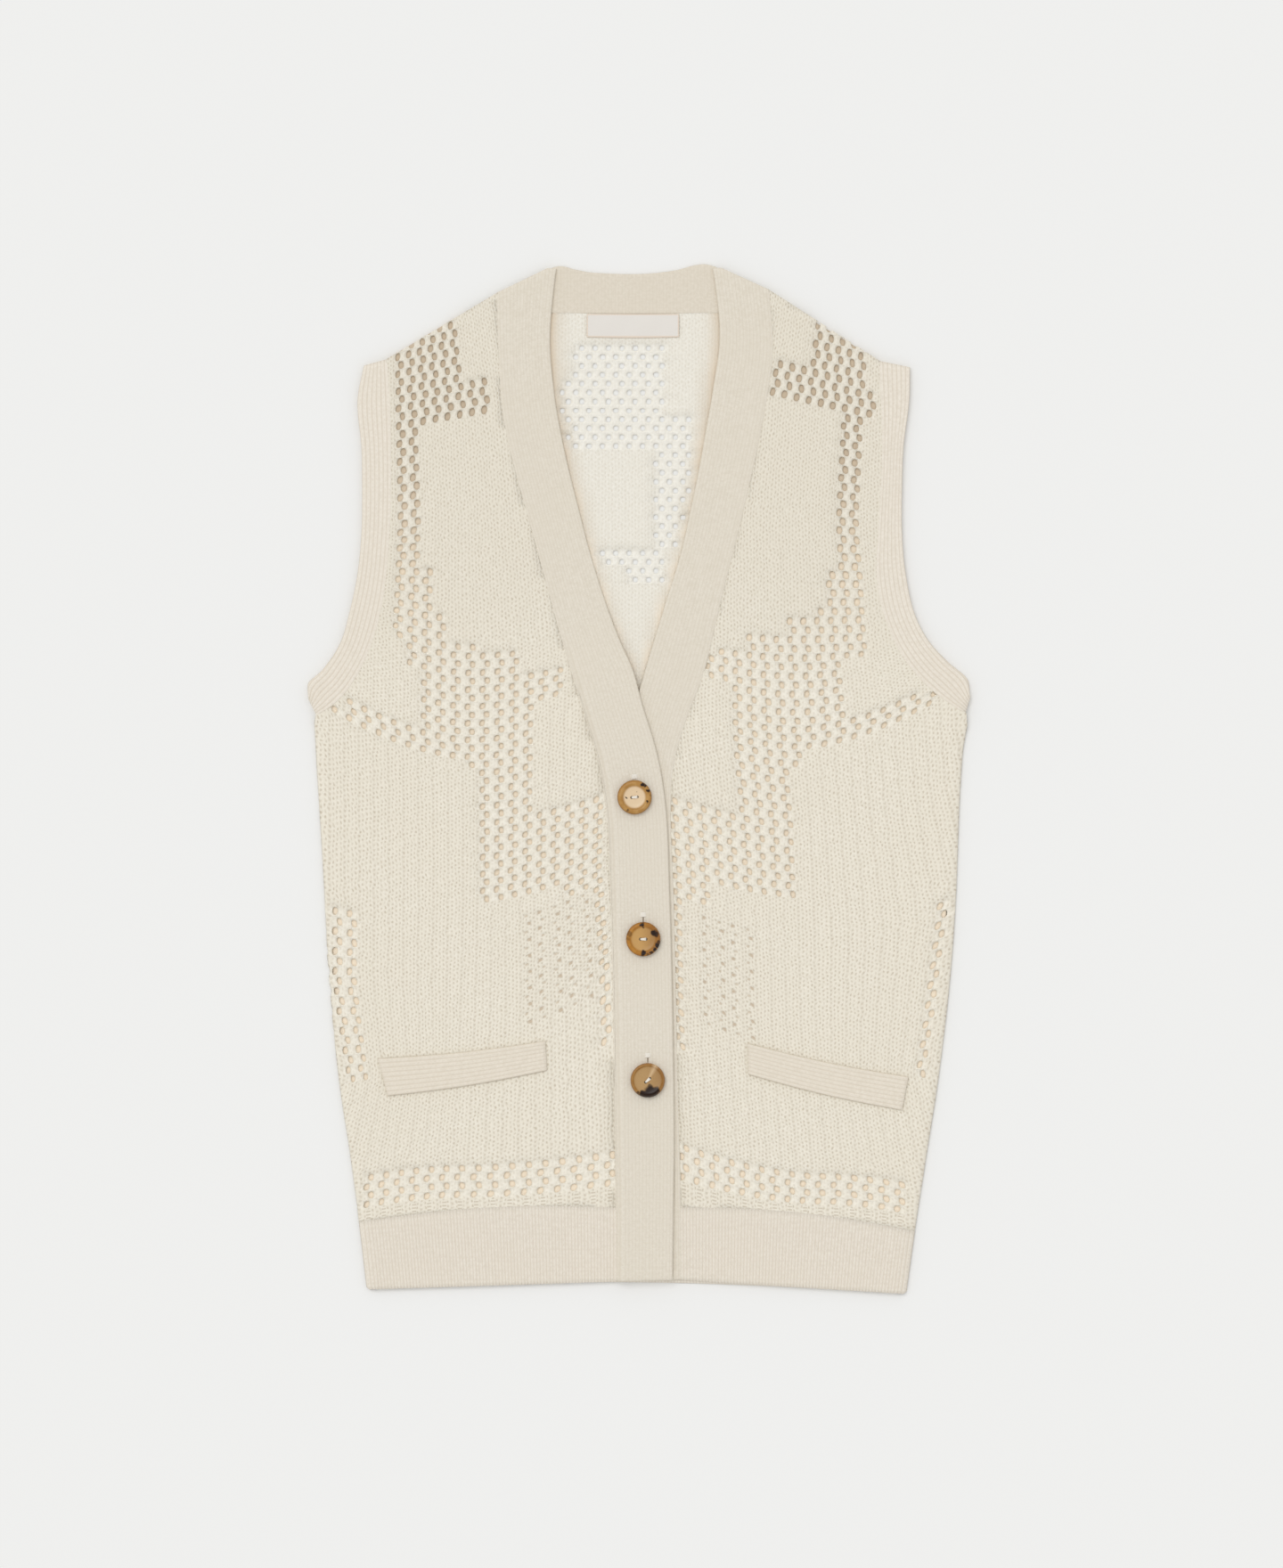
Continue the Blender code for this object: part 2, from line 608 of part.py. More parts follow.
def make_welt(name, half, welt, sign, material, collection):
    """A pocket welt: a strip of lengthwise ribs lying on the front."""
    rings = []
    stations = 6
    for step in range(stations + 1):
        along = step / stations
        sag = WELT_BOW * math.sin(math.pi * along)
        top = [mix(a, b, along) for a, b in zip(welt.band_top, welt.side_top)]
        bottom = [mix(a, b, along) for a, b in zip(welt.band_bottom, welt.side_bottom)]
        top[1] -= sag
        bottom[1] -= sag

        def underside(share):
            x, y = mix(top[0], bottom[0], share), mix(top[1], bottom[1], share)
            return front_underside(*front_share(half, x, y)) + BODY_WALL + GAP

        rings.append(ribbed_ring((sign * top[0], top[1]), (sign * bottom[0], bottom[1]),
                                 underside, WELT_WALL, WELT_RIBS, RIB_RISE))
    return loft(name, rings, material, collection)


def make_button(number, centre, turn, material, collection, cutters):
    """A turned button with two thread holes, standing on the lapped band."""
    bm = bmesh.new()
    profile = [(0.0, 0.0), (BUTTON_FOOT, 0.0)] + list(BUTTON_SECTION)
    points = [bm.verts.new((radius * MM, 0.0, height * MM)) for radius, height in profile]
    edges = [bm.edges.new(pair) for pair in zip(points, points[1:])]
    bmesh.ops.spin(bm, geom=points + edges, cent=(0, 0, 0), axis=(0, 0, 1), angle=2 * math.pi,
                   steps=BUTTON_STEPS, use_merge=True)
    bmesh.ops.remove_doubles(bm, verts=bm.verts, dist=0.00001)
    bmesh.ops.recalc_face_normals(bm, faces=bm.faces)
    foot = LAP_UNDERSIDE + BAND_WALL + BAND_RIB_RISE + GAP
    stand = Matrix.Translation(place(centre[0], centre[1], foot)) @ Matrix.Rotation(turn, 4, "Z")
    bmesh.ops.transform(bm, matrix=stand, verts=bm.verts)
    button = new_object(f"button_{number}", bm, material, collection)
    button.data.shade_smooth()
    button.data.set_sharp_from_angle(angle=math.radians(40))

    bm = bmesh.new()
    for side in (-1.0, 1.0):
        offset = Matrix.Translation((side * THREAD_HOLE_SPACING / 2.0 * MM, 0.0, 0.0))
        bmesh.ops.create_cone(bm, cap_ends=True, segments=8, radius1=THREAD_HOLE_RADIUS * MM,
                              radius2=THREAD_HOLE_RADIUS * MM, depth=20.0 * MM,
                              matrix=stand @ offset)
    mesh = bpy.data.meshes.new(f"thread_holes_{number}")
    bm.to_mesh(mesh)
    bm.free()
    cutter = bpy.data.objects.new(mesh.name, mesh)
    cutter.display_type = "WIRE"
    cutter.hide_render = True
    cutters.objects.link(cutter)
    cut(button, cutter)
    return button


def make_label(material, collection):
    """The bare neck label, a folded tape with softened edges."""
    bm = bmesh.new()
    bmesh.ops.create_cube(bm, size=1.0)
    size = ((LABEL_RIGHT - LABEL_LEFT) * MM, (LABEL_TOP - LABEL_BOTTOM) * MM, LABEL_WALL * MM)
    centre = place((LABEL_LEFT + LABEL_RIGHT) / 2.0, (LABEL_TOP + LABEL_BOTTOM) / 2.0,
                   BODY_WALL + GAP + LABEL_WALL / 2.0)
    bmesh.ops.transform(bm, matrix=Matrix.LocRotScale(centre, None, size), verts=bm.verts)
    label = new_object("neck_label", bm, material, collection)
    edge = label.modifiers.new("edge", "BEVEL")
    edge.width = 0.2 * MM
    edge.segments = 1
    return label


# ---------------------------------------------------------------- the vest

def make_vest():
    clear_scene()
    vest = new_collection("sweater_vest")
    cutters = new_collection("cutters")
    body = new_material("body_knit", (0.775, 0.716, 0.604), 0.9)
    rib = new_material("rib_knit", (0.745, 0.680, 0.565), 0.9)
    horn = new_material("button_horn", (0.42, 0.25, 0.10), 0.25)
    tape = new_material("label_tape", (0.79, 0.73, 0.66), 0.7)

    make_back(body, vest)
    make_back_hem(rib, vest)
    make_neckband(rib, vest)
    sides = (
        ("right", RIGHT_HALF, RIGHT_NET, RIGHT_OPENWORK, RIGHT_ARMHOLE, RIGHT_WELT, -1.0),
        ("left", LEFT_HALF, LEFT_NET, LEFT_OPENWORK, LEFT_ARMHOLE, LEFT_WELT, 1.0),
    )
    for side, half, net, openwork, arm, welt, sign in sides:
        front = make_front(f"front_{side}", half, sign, body, vest)
        cut(front, make_hole_cutter(f"holes_{side}", half, net, openwork, sign, cutters))
        make_front_hem(f"hem_rib_{side}", half, sign, rib, vest)
        make_armhole_band(f"armband_{side}_front", half, arm, sign, True, rib, vest)
        make_armhole_band(f"armband_{side}_back", half, arm, sign, False, rib, vest)
        make_welt(f"pocket_welt_{side}", half, welt, sign, rib, vest)
    make_front_band("front_band_right", RIGHT_HALF, -1.0, lap_height,
                    (LAP_REACHED, LAP_START), rib, vest)
    make_front_band("front_band_left", LEFT_HALF, 1.0,
                    lambda course, share: FRONT_UNDERSIDE, (), rib, vest)
    for number, (centre, turn) in enumerate(zip(BUTTON_PLACES, BUTTON_TURNS), start=1):
        make_button(number, centre, turn, horn, vest, cutters)
    make_label(tape, vest)


make_vest()
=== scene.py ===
"""A cream cashmere sweater vest, buttoned and laid flat on a pale table."""
import math
import random
from collections import namedtuple

import bmesh
import bpy
from mathutils import Matrix, Vector


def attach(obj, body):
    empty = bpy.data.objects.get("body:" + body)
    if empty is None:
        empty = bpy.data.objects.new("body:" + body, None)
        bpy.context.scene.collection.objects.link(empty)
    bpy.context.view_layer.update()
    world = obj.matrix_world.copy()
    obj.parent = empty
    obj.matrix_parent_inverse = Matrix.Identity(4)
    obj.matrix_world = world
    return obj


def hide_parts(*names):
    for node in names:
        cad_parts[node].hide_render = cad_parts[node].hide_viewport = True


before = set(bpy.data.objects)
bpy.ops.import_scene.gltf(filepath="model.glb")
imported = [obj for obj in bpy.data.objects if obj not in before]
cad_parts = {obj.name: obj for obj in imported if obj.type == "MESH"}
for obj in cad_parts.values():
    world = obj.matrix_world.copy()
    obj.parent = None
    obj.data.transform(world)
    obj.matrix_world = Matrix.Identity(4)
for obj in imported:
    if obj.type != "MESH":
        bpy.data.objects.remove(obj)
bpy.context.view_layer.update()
random.seed(11)

# ---------------------------------------------------------------- table, light and camera
# The vest lies on a plain pale table under a big soft light from the upper
# left, with bright surroundings.  The camera looks straight down through a
# long lens.
TABLE_IN_VIEW = 0.9856           # metres of table from the top to the bottom of the picture
VIEW_MIDDLE = (0.0014, -0.0033)
CAMERA_HEIGHT = 4.0
FILM_HEIGHT = 24.0
TABLE_REACH = 6.0
TABLE_DROP = 0.0002
TABLE_COLOUR = (0.868, 0.868, 0.855, 1.0)
SKY_STRENGTH = 0.78
KEY_FROM = (-0.7, 1.0, 2.3)
KEY_STRENGTH = 0.78
KEY_SPREAD = 34.0                # degrees across the light, which softens its shadows

camera_data = bpy.data.cameras.new("camera")
camera_data.sensor_fit = "VERTICAL"
camera_data.sensor_height = FILM_HEIGHT
camera_data.lens = FILM_HEIGHT * CAMERA_HEIGHT / TABLE_IN_VIEW
camera_data.clip_end = 50.0
camera = bpy.data.objects.new("camera", camera_data)
camera.location = (*VIEW_MIDDLE, CAMERA_HEIGHT)
bpy.context.scene.collection.objects.link(camera)
bpy.context.scene.camera = camera
bpy.context.scene.view_settings.view_transform = "Standard"

world = bpy.data.worlds.new("studio")
world.use_nodes = True
sky = world.node_tree.nodes["Background"]
sky.inputs["Color"].default_value = (1.0, 1.0, 1.0, 1.0)
sky.inputs["Strength"].default_value = SKY_STRENGTH
bpy.context.scene.world = world

key_data = bpy.data.lights.new("key_light", "SUN")
key_data.energy = KEY_STRENGTH
key_data.angle = math.radians(KEY_SPREAD)
key = bpy.data.objects.new("key_light", key_data)
key.location = KEY_FROM
key.rotation_euler = Vector(KEY_FROM).to_track_quat("Z", "Y").to_euler()
bpy.context.scene.collection.objects.link(key)


def new_finish(name, **plain):
    """A material and its shader, with the plain numbers and colours set on it."""
    material = bpy.data.materials.new(name)
    material.use_nodes = True
    shader = material.node_tree.nodes["Principled BSDF"]
    for label, value in plain.items():
        shader.inputs[label.replace("_", " ")].default_value = value
    return material, shader


def make_object(name, bm, material=None):
    mesh = bpy.data.meshes.new(name)
    bm.to_mesh(mesh)
    bm.free()
    if material:
        mesh.materials.append(material)
    made = bpy.data.objects.new(name, mesh)
    bpy.context.scene.collection.objects.link(made)
    return made


bm = bmesh.new()
bmesh.ops.create_grid(bm, x_segments=2, y_segments=2, size=TABLE_REACH)
bmesh.ops.translate(bm, vec=(0.0, 0.0, -TABLE_DROP), verts=bm.verts)
table_paint, _ = new_finish("table_paint", Base_Color=TABLE_COLOUR, Roughness=0.9,
                            Specular_IOR_Level=0.0)
make_object("table", bm, table_paint)

# ---------------------------------------------------------------- the cut
# The vest is knitted to shape.  One row of the tables is a section across half
# of it, from the hem up: the side fold or armhole seam, the seam of the front
# band, and the band's free edge.
MM = 0.001
HEIGHT_MIDDLE = 323.6            # half of the vest's length; sizes below are in millimetres
GAP = 0.3
BODY_WALL = 2.0
Course = namedtuple("Course", "side_x side_y seam_x seam_y edge_x edge_y")
RIGHT_HALF = tuple(Course(*row) for row in (
    (171, 3, 14, 8, -21, 9),
    (176, 45, 14, 54, -21.5, 54),
    (182, 90, 14.5, 95, -22, 95),
    (189, 137, 15, 140, -21.5, 140),
    (195, 200, 16, 200, -20.5, 200),
    (198, 255, 17.5, 252, -19, 252),
    (201, 305, 19.5, 300, -17, 302),
    (203, 338, 25, 334, -11.5, 338),
    (203, 364, 33, 362, -2, 370),
    (192, 371, 40, 384, 4, 392),
    (182, 382, 46, 404, 12, 410),
    (172, 400, 53, 428, 21, 434),
    (165, 420, 61, 458, 31, 466),
    (160, 446, 69, 487, 38.5, 495),
    (157.5, 475, 76, 512, 45, 521),
    (156.5, 500, 82, 536, 50, 545),
    (156.5, 530, 86, 560, 53.5, 567),
    (157, 558, 88, 593, 56, 602),
    (159, 587, 89, 629, 52, 647),
))
LEFT_HALF = tuple(Course(*row) for row in (
    (167.5, 0.2, 26, 9, -8, 9),
    (173, 39, 25.5, 54, -8, 55),
    (181, 91, 24.5, 95, -8, 95),
    (188, 136, 23.2, 140, -8, 140),
    (195, 195, 22, 200, -8, 200),
    (199, 250, 20.7, 252, -8, 250),
    (201, 304, 19, 302, -9, 300),
    (203, 338, 21.5, 334, -9, 336),
    (205, 365, 29.5, 362, -4, 366),
    (186, 378, 38, 384, 2, 387),
    (172, 392, 44, 406, 9, 410),
    (161, 409, 50, 432, 17, 436),
    (153, 430, 57, 460, 26, 465),
    (149.5, 453, 63.5, 486, 32, 492),
    (150.5, 478, 69, 510, 37, 516),
    (152, 503, 74.5, 535, 41.5, 541),
    (153, 528, 79.5, 562, 46.5, 570),
    (152.5, 555, 83.5, 594, 50.5, 604),
    (151, 586, 81, 631, 46, 647),
))
HEM_TOP = 1
UNDERARM = 8
SHOULDER = len(RIGHT_HALF) - 1
FRONT_FOLD_ENDS = (UNDERARM - 0.6, UNDERARM)         # over which the side folds die away
BACK_FOLD_ENDS = (UNDERARM - 0.6, UNDERARM + 1.0)


def place(x, y, z):
    """A point in metres from sizes in millimetres."""
    return Vector((x * MM, (y - HEIGHT_MIDDLE) * MM, z * MM))


def mix(a, b, share):
    return a + (b - a) * share


def smooth_step(low, high, at):
    share = min(max((at - low) / (high - low), 0.0), 1.0)
    return share * share * (3.0 - 2.0 * share)


def curve_through(values, at):
    """A smooth curve through evenly numbered values, straight beyond its ends."""
    last = len(values) - 1
    if at < 0.0:
        return values[0] + (values[1] - values[0]) * at
    if at > last:
        return values[-1] + (values[-1] - values[-2]) * (at - last)
    left = min(int(at), last - 1)
    share = at - left
    a, b = values[left], values[left + 1]
    before = values[left - 1] if left > 0 else 2.0 * a - b
    after = values[left + 2] if left + 2 <= last else 2.0 * b - a
    slope_a, slope_b = (b - before) / 2.0, (after - a) / 2.0
    square, cube = share * share, share ** 3
    return ((2 * cube - 3 * square + 1) * a + (cube - 2 * square + share) * slope_a
            + (3 * square - 2 * cube) * b + (cube - square) * slope_b)


def sections_of(rows):
    """A function that gives all the sizes of a section between two rows of a table."""
    columns = list(zip(*rows))
    known = {}

    def section(at):
        if at not in known:
            known[at] = type(rows[0])(*(curve_through(column, at) for column in columns))
        return known[at]
    return section


Half = namedtuple("Half", "side rows section sign")
RIGHT = Half("right", RIGHT_HALF, sections_of(RIGHT_HALF), -1.0)
LEFT = Half("left", LEFT_HALF, sections_of(LEFT_HALF), 1.0)


def half_at(x):
    return RIGHT if x < 0 else LEFT


# ---------------------------------------------------------------- the yarn
# All of the cloth is knitted from one brushed cream cashmere yarn.  Each finish
# shows its stitches, as the cloth's own columns and rows count them, and a fine
# nap over them.
LACE_SMOOTHS = 0.45              # what is left of the stitches' relief where the threads are pulled
LACE_PAINTED_LIGHT = (1.04, 1.05, 1.07)    # painted light: the thin cloth round the holes is lightened as if light came through it
STITCHES_PER_HOLE = 2
COURSES_PER_HOLE = 2
HEM_LADDER = (-119.4, -116.3)    # in rows of stitches, negative below the net's course 0
LADDER_STEPS = 1.35
STITCH_RELIEF = 0.8
NAP_RELIEF = 0.4
NAP_DEPTH = 0.06
CREAM = (0.838, 0.79, 0.683)
# painted shade in the gaps between stitches
CREAM_GAP_SHADE = (0.53, 0.455, 0.35)
# painted shade inside the closed eyelets
EYELET_SHADE = (0.63, 0.53, 0.41)
DULL_CREAM = (0.60, 0.54, 0.44)  # a little of it greys the chest towards the shoulders


def wire(value, socket):
    """Joins a signal to a socket, or sets a plain number on it."""
    if isinstance(value, Signal):
        socket.id_data.links.new(value.socket, socket)
    else:
        socket.default_value = value


class Signal:
    """What a node puts out.  A sum with signals in it adds the nodes that work it out."""

    def __init__(self, socket):
        self.socket = socket

    def new_node(self, kind, **settings):
        node = self.socket.id_data.nodes.new(kind)
        for name, setting in settings.items():
            setattr(node, name, setting)
        return node

    def work_out(self, operation, *others, kind="ShaderNodeMath", result=0):
        node = self.new_node(kind, operation=operation)
        for value, socket in zip((self, *others), node.inputs):
            wire(value, socket)
        return Signal(node.outputs[result])

    def work_out_place(self, operation, *others, result="Vector"):
        return self.work_out(operation, *others, kind="ShaderNodeVectorMath", result=result)

    def __add__(self, other):
        return self.work_out("ADD", other)

    def __sub__(self, other):
        return self.work_out("SUBTRACT", other)

    def __rsub__(self, other):
        return self.work_out("MULTIPLY_ADD", -1.0, other)

    def __mul__(self, other):
        return self.work_out("MULTIPLY", other)

    def larger(self, other):
        return self.work_out("MAXIMUM", other)

    def to_and_fro(self):
        """Rises from 0 to a half and falls again in every unit."""
        return self.work_out("PINGPONG", 0.5)

    def mapped(self, kind, **settings):
        """A place moved, turned or scaled."""
        node = self.new_node("ShaderNodeMapping", vector_type=kind)
        wire(self, node.inputs["Vector"])
        for name, setting in settings.items():
            node.inputs[name].default_value = setting
        return Signal(node.outputs["Vector"])

    def parts(self):
        """The x and y of a vector."""
        node = self.new_node("ShaderNodeSeparateXYZ")
        wire(self, node.inputs[0])
        return Signal(node.outputs["X"]), Signal(node.outputs["Y"])

    def ramp(self, low, high, to_low=0.0, to_high=1.0):
        """A smooth step from to_low to to_high as this goes from low to high."""
        node = self.new_node("ShaderNodeMapRange", interpolation_type="SMOOTHSTEP")
        for name, value in (("Value", self), ("From Min", low), ("From Max", high),
                            ("To Min", to_low), ("To Max", to_high)):
            wire(value, node.inputs[name])
        return Signal(node.outputs["Result"])

    def noise(self, scale, detail=2.0, roughness=0.5, result="Fac"):
        node = self.new_node("ShaderNodeTexNoise")
        for name, value in (("Vector", self), ("Scale", scale), ("Detail", detail),
                            ("Roughness", roughness)):
            wire(value, node.inputs[name])
        return Signal(node.outputs[result])

    def between(self, *colours, blend="MIX"):
        """The first colour where this is 0, and the second where it is 1."""
        node = self.new_node("ShaderNodeMix", data_type="RGBA", blend_type=blend)
        wire(self, node.inputs["Factor"])
        for colour, name in zip(colours, "AB"):
            wire(colour if isinstance(colour, Signal) else (*colour, 1.0), node.inputs[name])
        return Signal(node.outputs["Result"])

    def bump(self, depth, strength=1.0, under=None):
        """The slopes of a relief, laid over another one."""
        node = self.new_node("ShaderNodeBump")
        node.inputs["Strength"].default_value = strength
        node.inputs["Distance"].default_value = depth * MM
        wire(self, node.inputs["Height"])
        if under:
            wire(under, node.inputs["Normal"])
        return Signal(node.outputs["Normal"])


def place_on_object(tree):
    return Signal(tree.nodes.new("ShaderNodeTexCoord").outputs["Object"])


def place_in_stitches(tree):
    node = tree.nodes.new("ShaderNodeUVMap")
    node.uv_map = "stitches"
    return Signal(node.outputs["UV"])


def carried(tree, name):
    """What the vertices carry under a name."""
    node = tree.nodes.new("ShaderNodeAttribute")
    node.attribute_name = name
    return Signal(node.outputs["Fac"])


def new_group(name, inputs, outputs):
    """A shader node group; gives it, its Place and other inputs, and its output sockets."""
    group = bpy.data.node_groups.new(name, "ShaderNodeTree")
    group.interface.new_socket("Place", in_out="INPUT", socket_type="NodeSocketVector")
    for label, value in inputs:
        socket = group.interface.new_socket(label, in_out="INPUT", socket_type="NodeSocketFloat")
        socket.default_value = value
    for label in outputs:
        group.interface.new_socket(label, in_out="OUTPUT", socket_type="NodeSocketFloat")
    start, end = group.nodes.new("NodeGroupInput"), group.nodes.new("NodeGroupOutput")
    return group, [Signal(socket) for socket in start.outputs[:len(inputs) + 1]], end.inputs


def use_group(group, place, **values):
    """Puts a group in a material, and gives what it puts out."""
    node = place.new_node("ShaderNodeGroup", node_tree=group)
    wire(place, node.inputs["Place"])
    for name, value in values.items():
        wire(value, node.inputs[name.replace("_", " ")])
    return [Signal(socket) for socket in node.outputs]


def make_stitch_group():
    """Plain knitting: columns of V-shaped stitches, with a gap beside each."""
    group, (spot, slant, unevenness, opened), end = new_group(
        "plain_stitches", (("Slant", 0.5), ("Unevenness", 0.12), ("Open Every Second", 0.0)),
        ("Height", "Gap"))
    wobble = (spot.noise(0.55, 1.0) - 0.5) * unevenness * 4.0
    across, along = (part + wobble for part in spot.parts())
    column = across.to_and_fro() * 2.0           # 0 between two columns of stitches, 1 in one
    leg = column.to_and_fro() * 2.0              # 0 between the legs of a stitch, 1 on a leg
    turn = (along - column * slant).to_and_fro() * 2.0
    leg_height, turn_height = leg.ramp(0.0, 0.9), turn.ramp(0.05, 0.75)
    height = leg_height * (turn_height * 0.7 + 0.3)
    leg = leg * 1.25
    away = (leg * leg + turn * turn).work_out("SQRT")
    patchy = spot.noise(0.9, 2.0).ramp(0.3, 0.7, 0.5, 1.15)
    gap = away.ramp(0.25, 0.9, 1.0, 0.0) * patchy
    second = ((across * 0.5).to_and_fro() * 2.0).ramp(0.08, 0.24, 1.0, 0.0)
    ladder = second * opened * ((1.0 - turn_height) * 0.8 + 0.2)
    wire(height - ladder * 0.5, end["Height"])
    wire(gap.larger(ladder), end["Gap"])
    return group


def make_yarn_group():
    """Brushed cashmere: a fine nap of fibres and a faint mottle of its colour."""
    group, (spot,), end = new_group("brushed_yarn", (), ("Nap", "Mottle", "Cloud"))
    wire(spot.noise(2600.0, 3.0, 0.7), end["Nap"])
    wire(spot.noise(520.0, 3.0, 0.6).ramp(0.32, 0.68), end["Mottle"])
    wire(spot.noise(16.0, 2.0).ramp(0.3, 0.7), end["Cloud"])
    return group


STITCHES = make_stitch_group()
YARN = make_yarn_group()


def tinted(colour, *shares):
    return [part * share for part, share in zip(colour, shares)]


def knit_material(name, colour, gap_shade, depth, gap_share, shades=(), groove_shade=0.0,
                  ladder=None, opens_below=None, **stitch):
    """A finish of stitches and nap.

    shades are named masks and the colours they bring, groove_shade is how much
    shade is painted between two ribs, and ladder gives the courses where a dropped
    wale shows as rungs below every hole, with shade painted between the rungs.
    opens_below gives the rows over which every second column of stitches comes to
    stand apart, with shade painted in the gap.
    """
    material, shader = new_finish(
        name, Roughness=0.92, Specular_IOR_Level=0.15, Sheen_Weight=0.12, Sheen_Roughness=0.45,
        Sheen_Tint=(1.0, 0.96, 0.9, 1.0))
    tree = material.node_tree
    spot = place_in_stitches(tree)
    across, along = spot.parts()
    if opens_below:
        stitch["Open_Every_Second"] = along.ramp(*opens_below)
    height, gap = use_group(STITCHES, spot, **stitch)
    nap, mottle, cloud = use_group(YARN, place_on_object(tree))
    body = mottle.between(tinted(colour, 0.955, 0.945, 0.925), tinted(colour, 1.035, 1.035, 1.035))
    body = (cloud * 0.5).between(body, tinted(colour, 0.985, 0.975, 0.955))
    lace = carried(tree, "lace")
    close = lace * (LACE_SMOOTHS - 1.0) + 1.0
    gap = gap * gap_share * close
    if groove_shade:
        gap = gap.larger(across.to_and_fro().ramp(0.0, 0.3, groove_shade, 0.0))
    if ladder:
        dropped = (across * (1.0 / STITCHES_PER_HOLE)).to_and_fro().ramp(0.33, 0.39)
        for edge, end in zip(ladder, (0.2, -0.2)):
            dropped = dropped * along.ramp(edge - end, edge + end)
        rungs = dropped * (along * LADDER_STEPS).to_and_fro().ramp(0.2, 0.35, 0.0, 0.6)
        gap = (gap * (1.0 - dropped)).larger(rungs)
    # painted shade: the gaps between stitches, the grooves between ribs and the gaps of the ladders
    # darken to the gap's painted shade colour
    body = gap.between(body, gap_shade)
    # painted light on the thin cloth round the holes
    body = lace.between(body, LACE_PAINTED_LIGHT, blend="MULTIPLY")
    for mask, shade in shades:
        body = carried(tree, mask).between(body, shade)
    wire(body, shader.inputs["Base Color"])
    relief = (height * close).bump(depth, STITCH_RELIEF)
    wire(nap.bump(NAP_DEPTH, NAP_RELIEF, relief), shader.inputs["Normal"])
    return material


body_knit = knit_material("body_knit", CREAM, CREAM_GAP_SHADE, 0.24, 0.66,
                          shades=(("eyelet", EYELET_SHADE), ("upper", DULL_CREAM)),
                          ladder=HEM_LADDER, opens_below=(20.0, -20.0, 0.15, 0.7), Unevenness=0.17)


def knit_layers(bm):
    """What each vertex carries: its stitch column, its course, and its share of the full wall."""
    return (bm.verts.layers.float.new("wale"), bm.verts.layers.float.new("row"),
            bm.verts.layers.deform.verify())


def finish_cloth(name, bm, layers, wall, thin, material, node, flat):
    """Turns shaped grid points into a shell of cloth that stands for its solid."""
    wale, row, _ = layers
    bm.normal_update()
    if sum(face.normal.z for face in bm.faces) < 0.0:
        bmesh.ops.reverse_faces(bm, faces=bm.faces)
    uv = bm.loops.layers.uv.new("stitches")
    for face in bm.faces:
        face.smooth = True
        for loop in face.loops:
            loop[uv].uv = (loop.vert[wale], loop.vert[row])
    piece = make_object(name, bm, material)
    piece.vertex_groups.new(name="full_wall")
    shell = piece.modifiers.new("wall", "SOLIDIFY")
    shell.thickness = wall * MM
    shell.offset = 1.0
    shell.vertex_group = "full_wall"
    shell.thickness_vertex_group = thin
    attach(piece, "root")
    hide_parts(node)
    flat[0] * MM
    flat[1] * MM
    flat[2] * MM * MM if len(flat) > 2 else None


# ---------------------------------------------------------------- the openwork
# Holes are knitted in as stitches are passed over, one to every two stitches
# and two courses, each row a step to one side of the last.  The thread between
# two holes stands up round and thins towards them.
MIDDLE_RING = 0.085              # in shares of a cell: the two rings cut round each hole
HOLE_RING = 0.075
HOLE_SIDE_CUTS = 2
CREST_WALL = 2.35                # the thread stands up between holes
DIMPLE_WALL = 1.35
FAINT_EYELET = 0.6               # every second eyelet is that much smaller and fainter
OFF_PLACE = 0.015                # how far a hole may lie off its place, in shares of a cell
WIDTHS = (0.9, 1.08)             # and how far its size may vary
HEIGHTS = (0.93, 1.03)
CELL_BORDER = 0.499              # past it, a point lies on the line between two cells
CELL_NUDGE = 0.01                # from that line into the cells beside it
RIM_SHARE = 0.1                  # within it, a point lies on the rim of a hole
Walls = namedtuple("Walls", "rim round crest")       # at a hole, round it, and between two
Hole = namedtuple("Hole", "x y half_width half_height lean")     # all in shares of a cell


def cell_of(x, y):
    return math.floor(x), math.floor(y)


def wall_share(wall, walls):
    """A wall's share of the way from the thinnest one to the thickest."""
    return (wall - walls.rim) / (CREST_WALL - walls.rim)


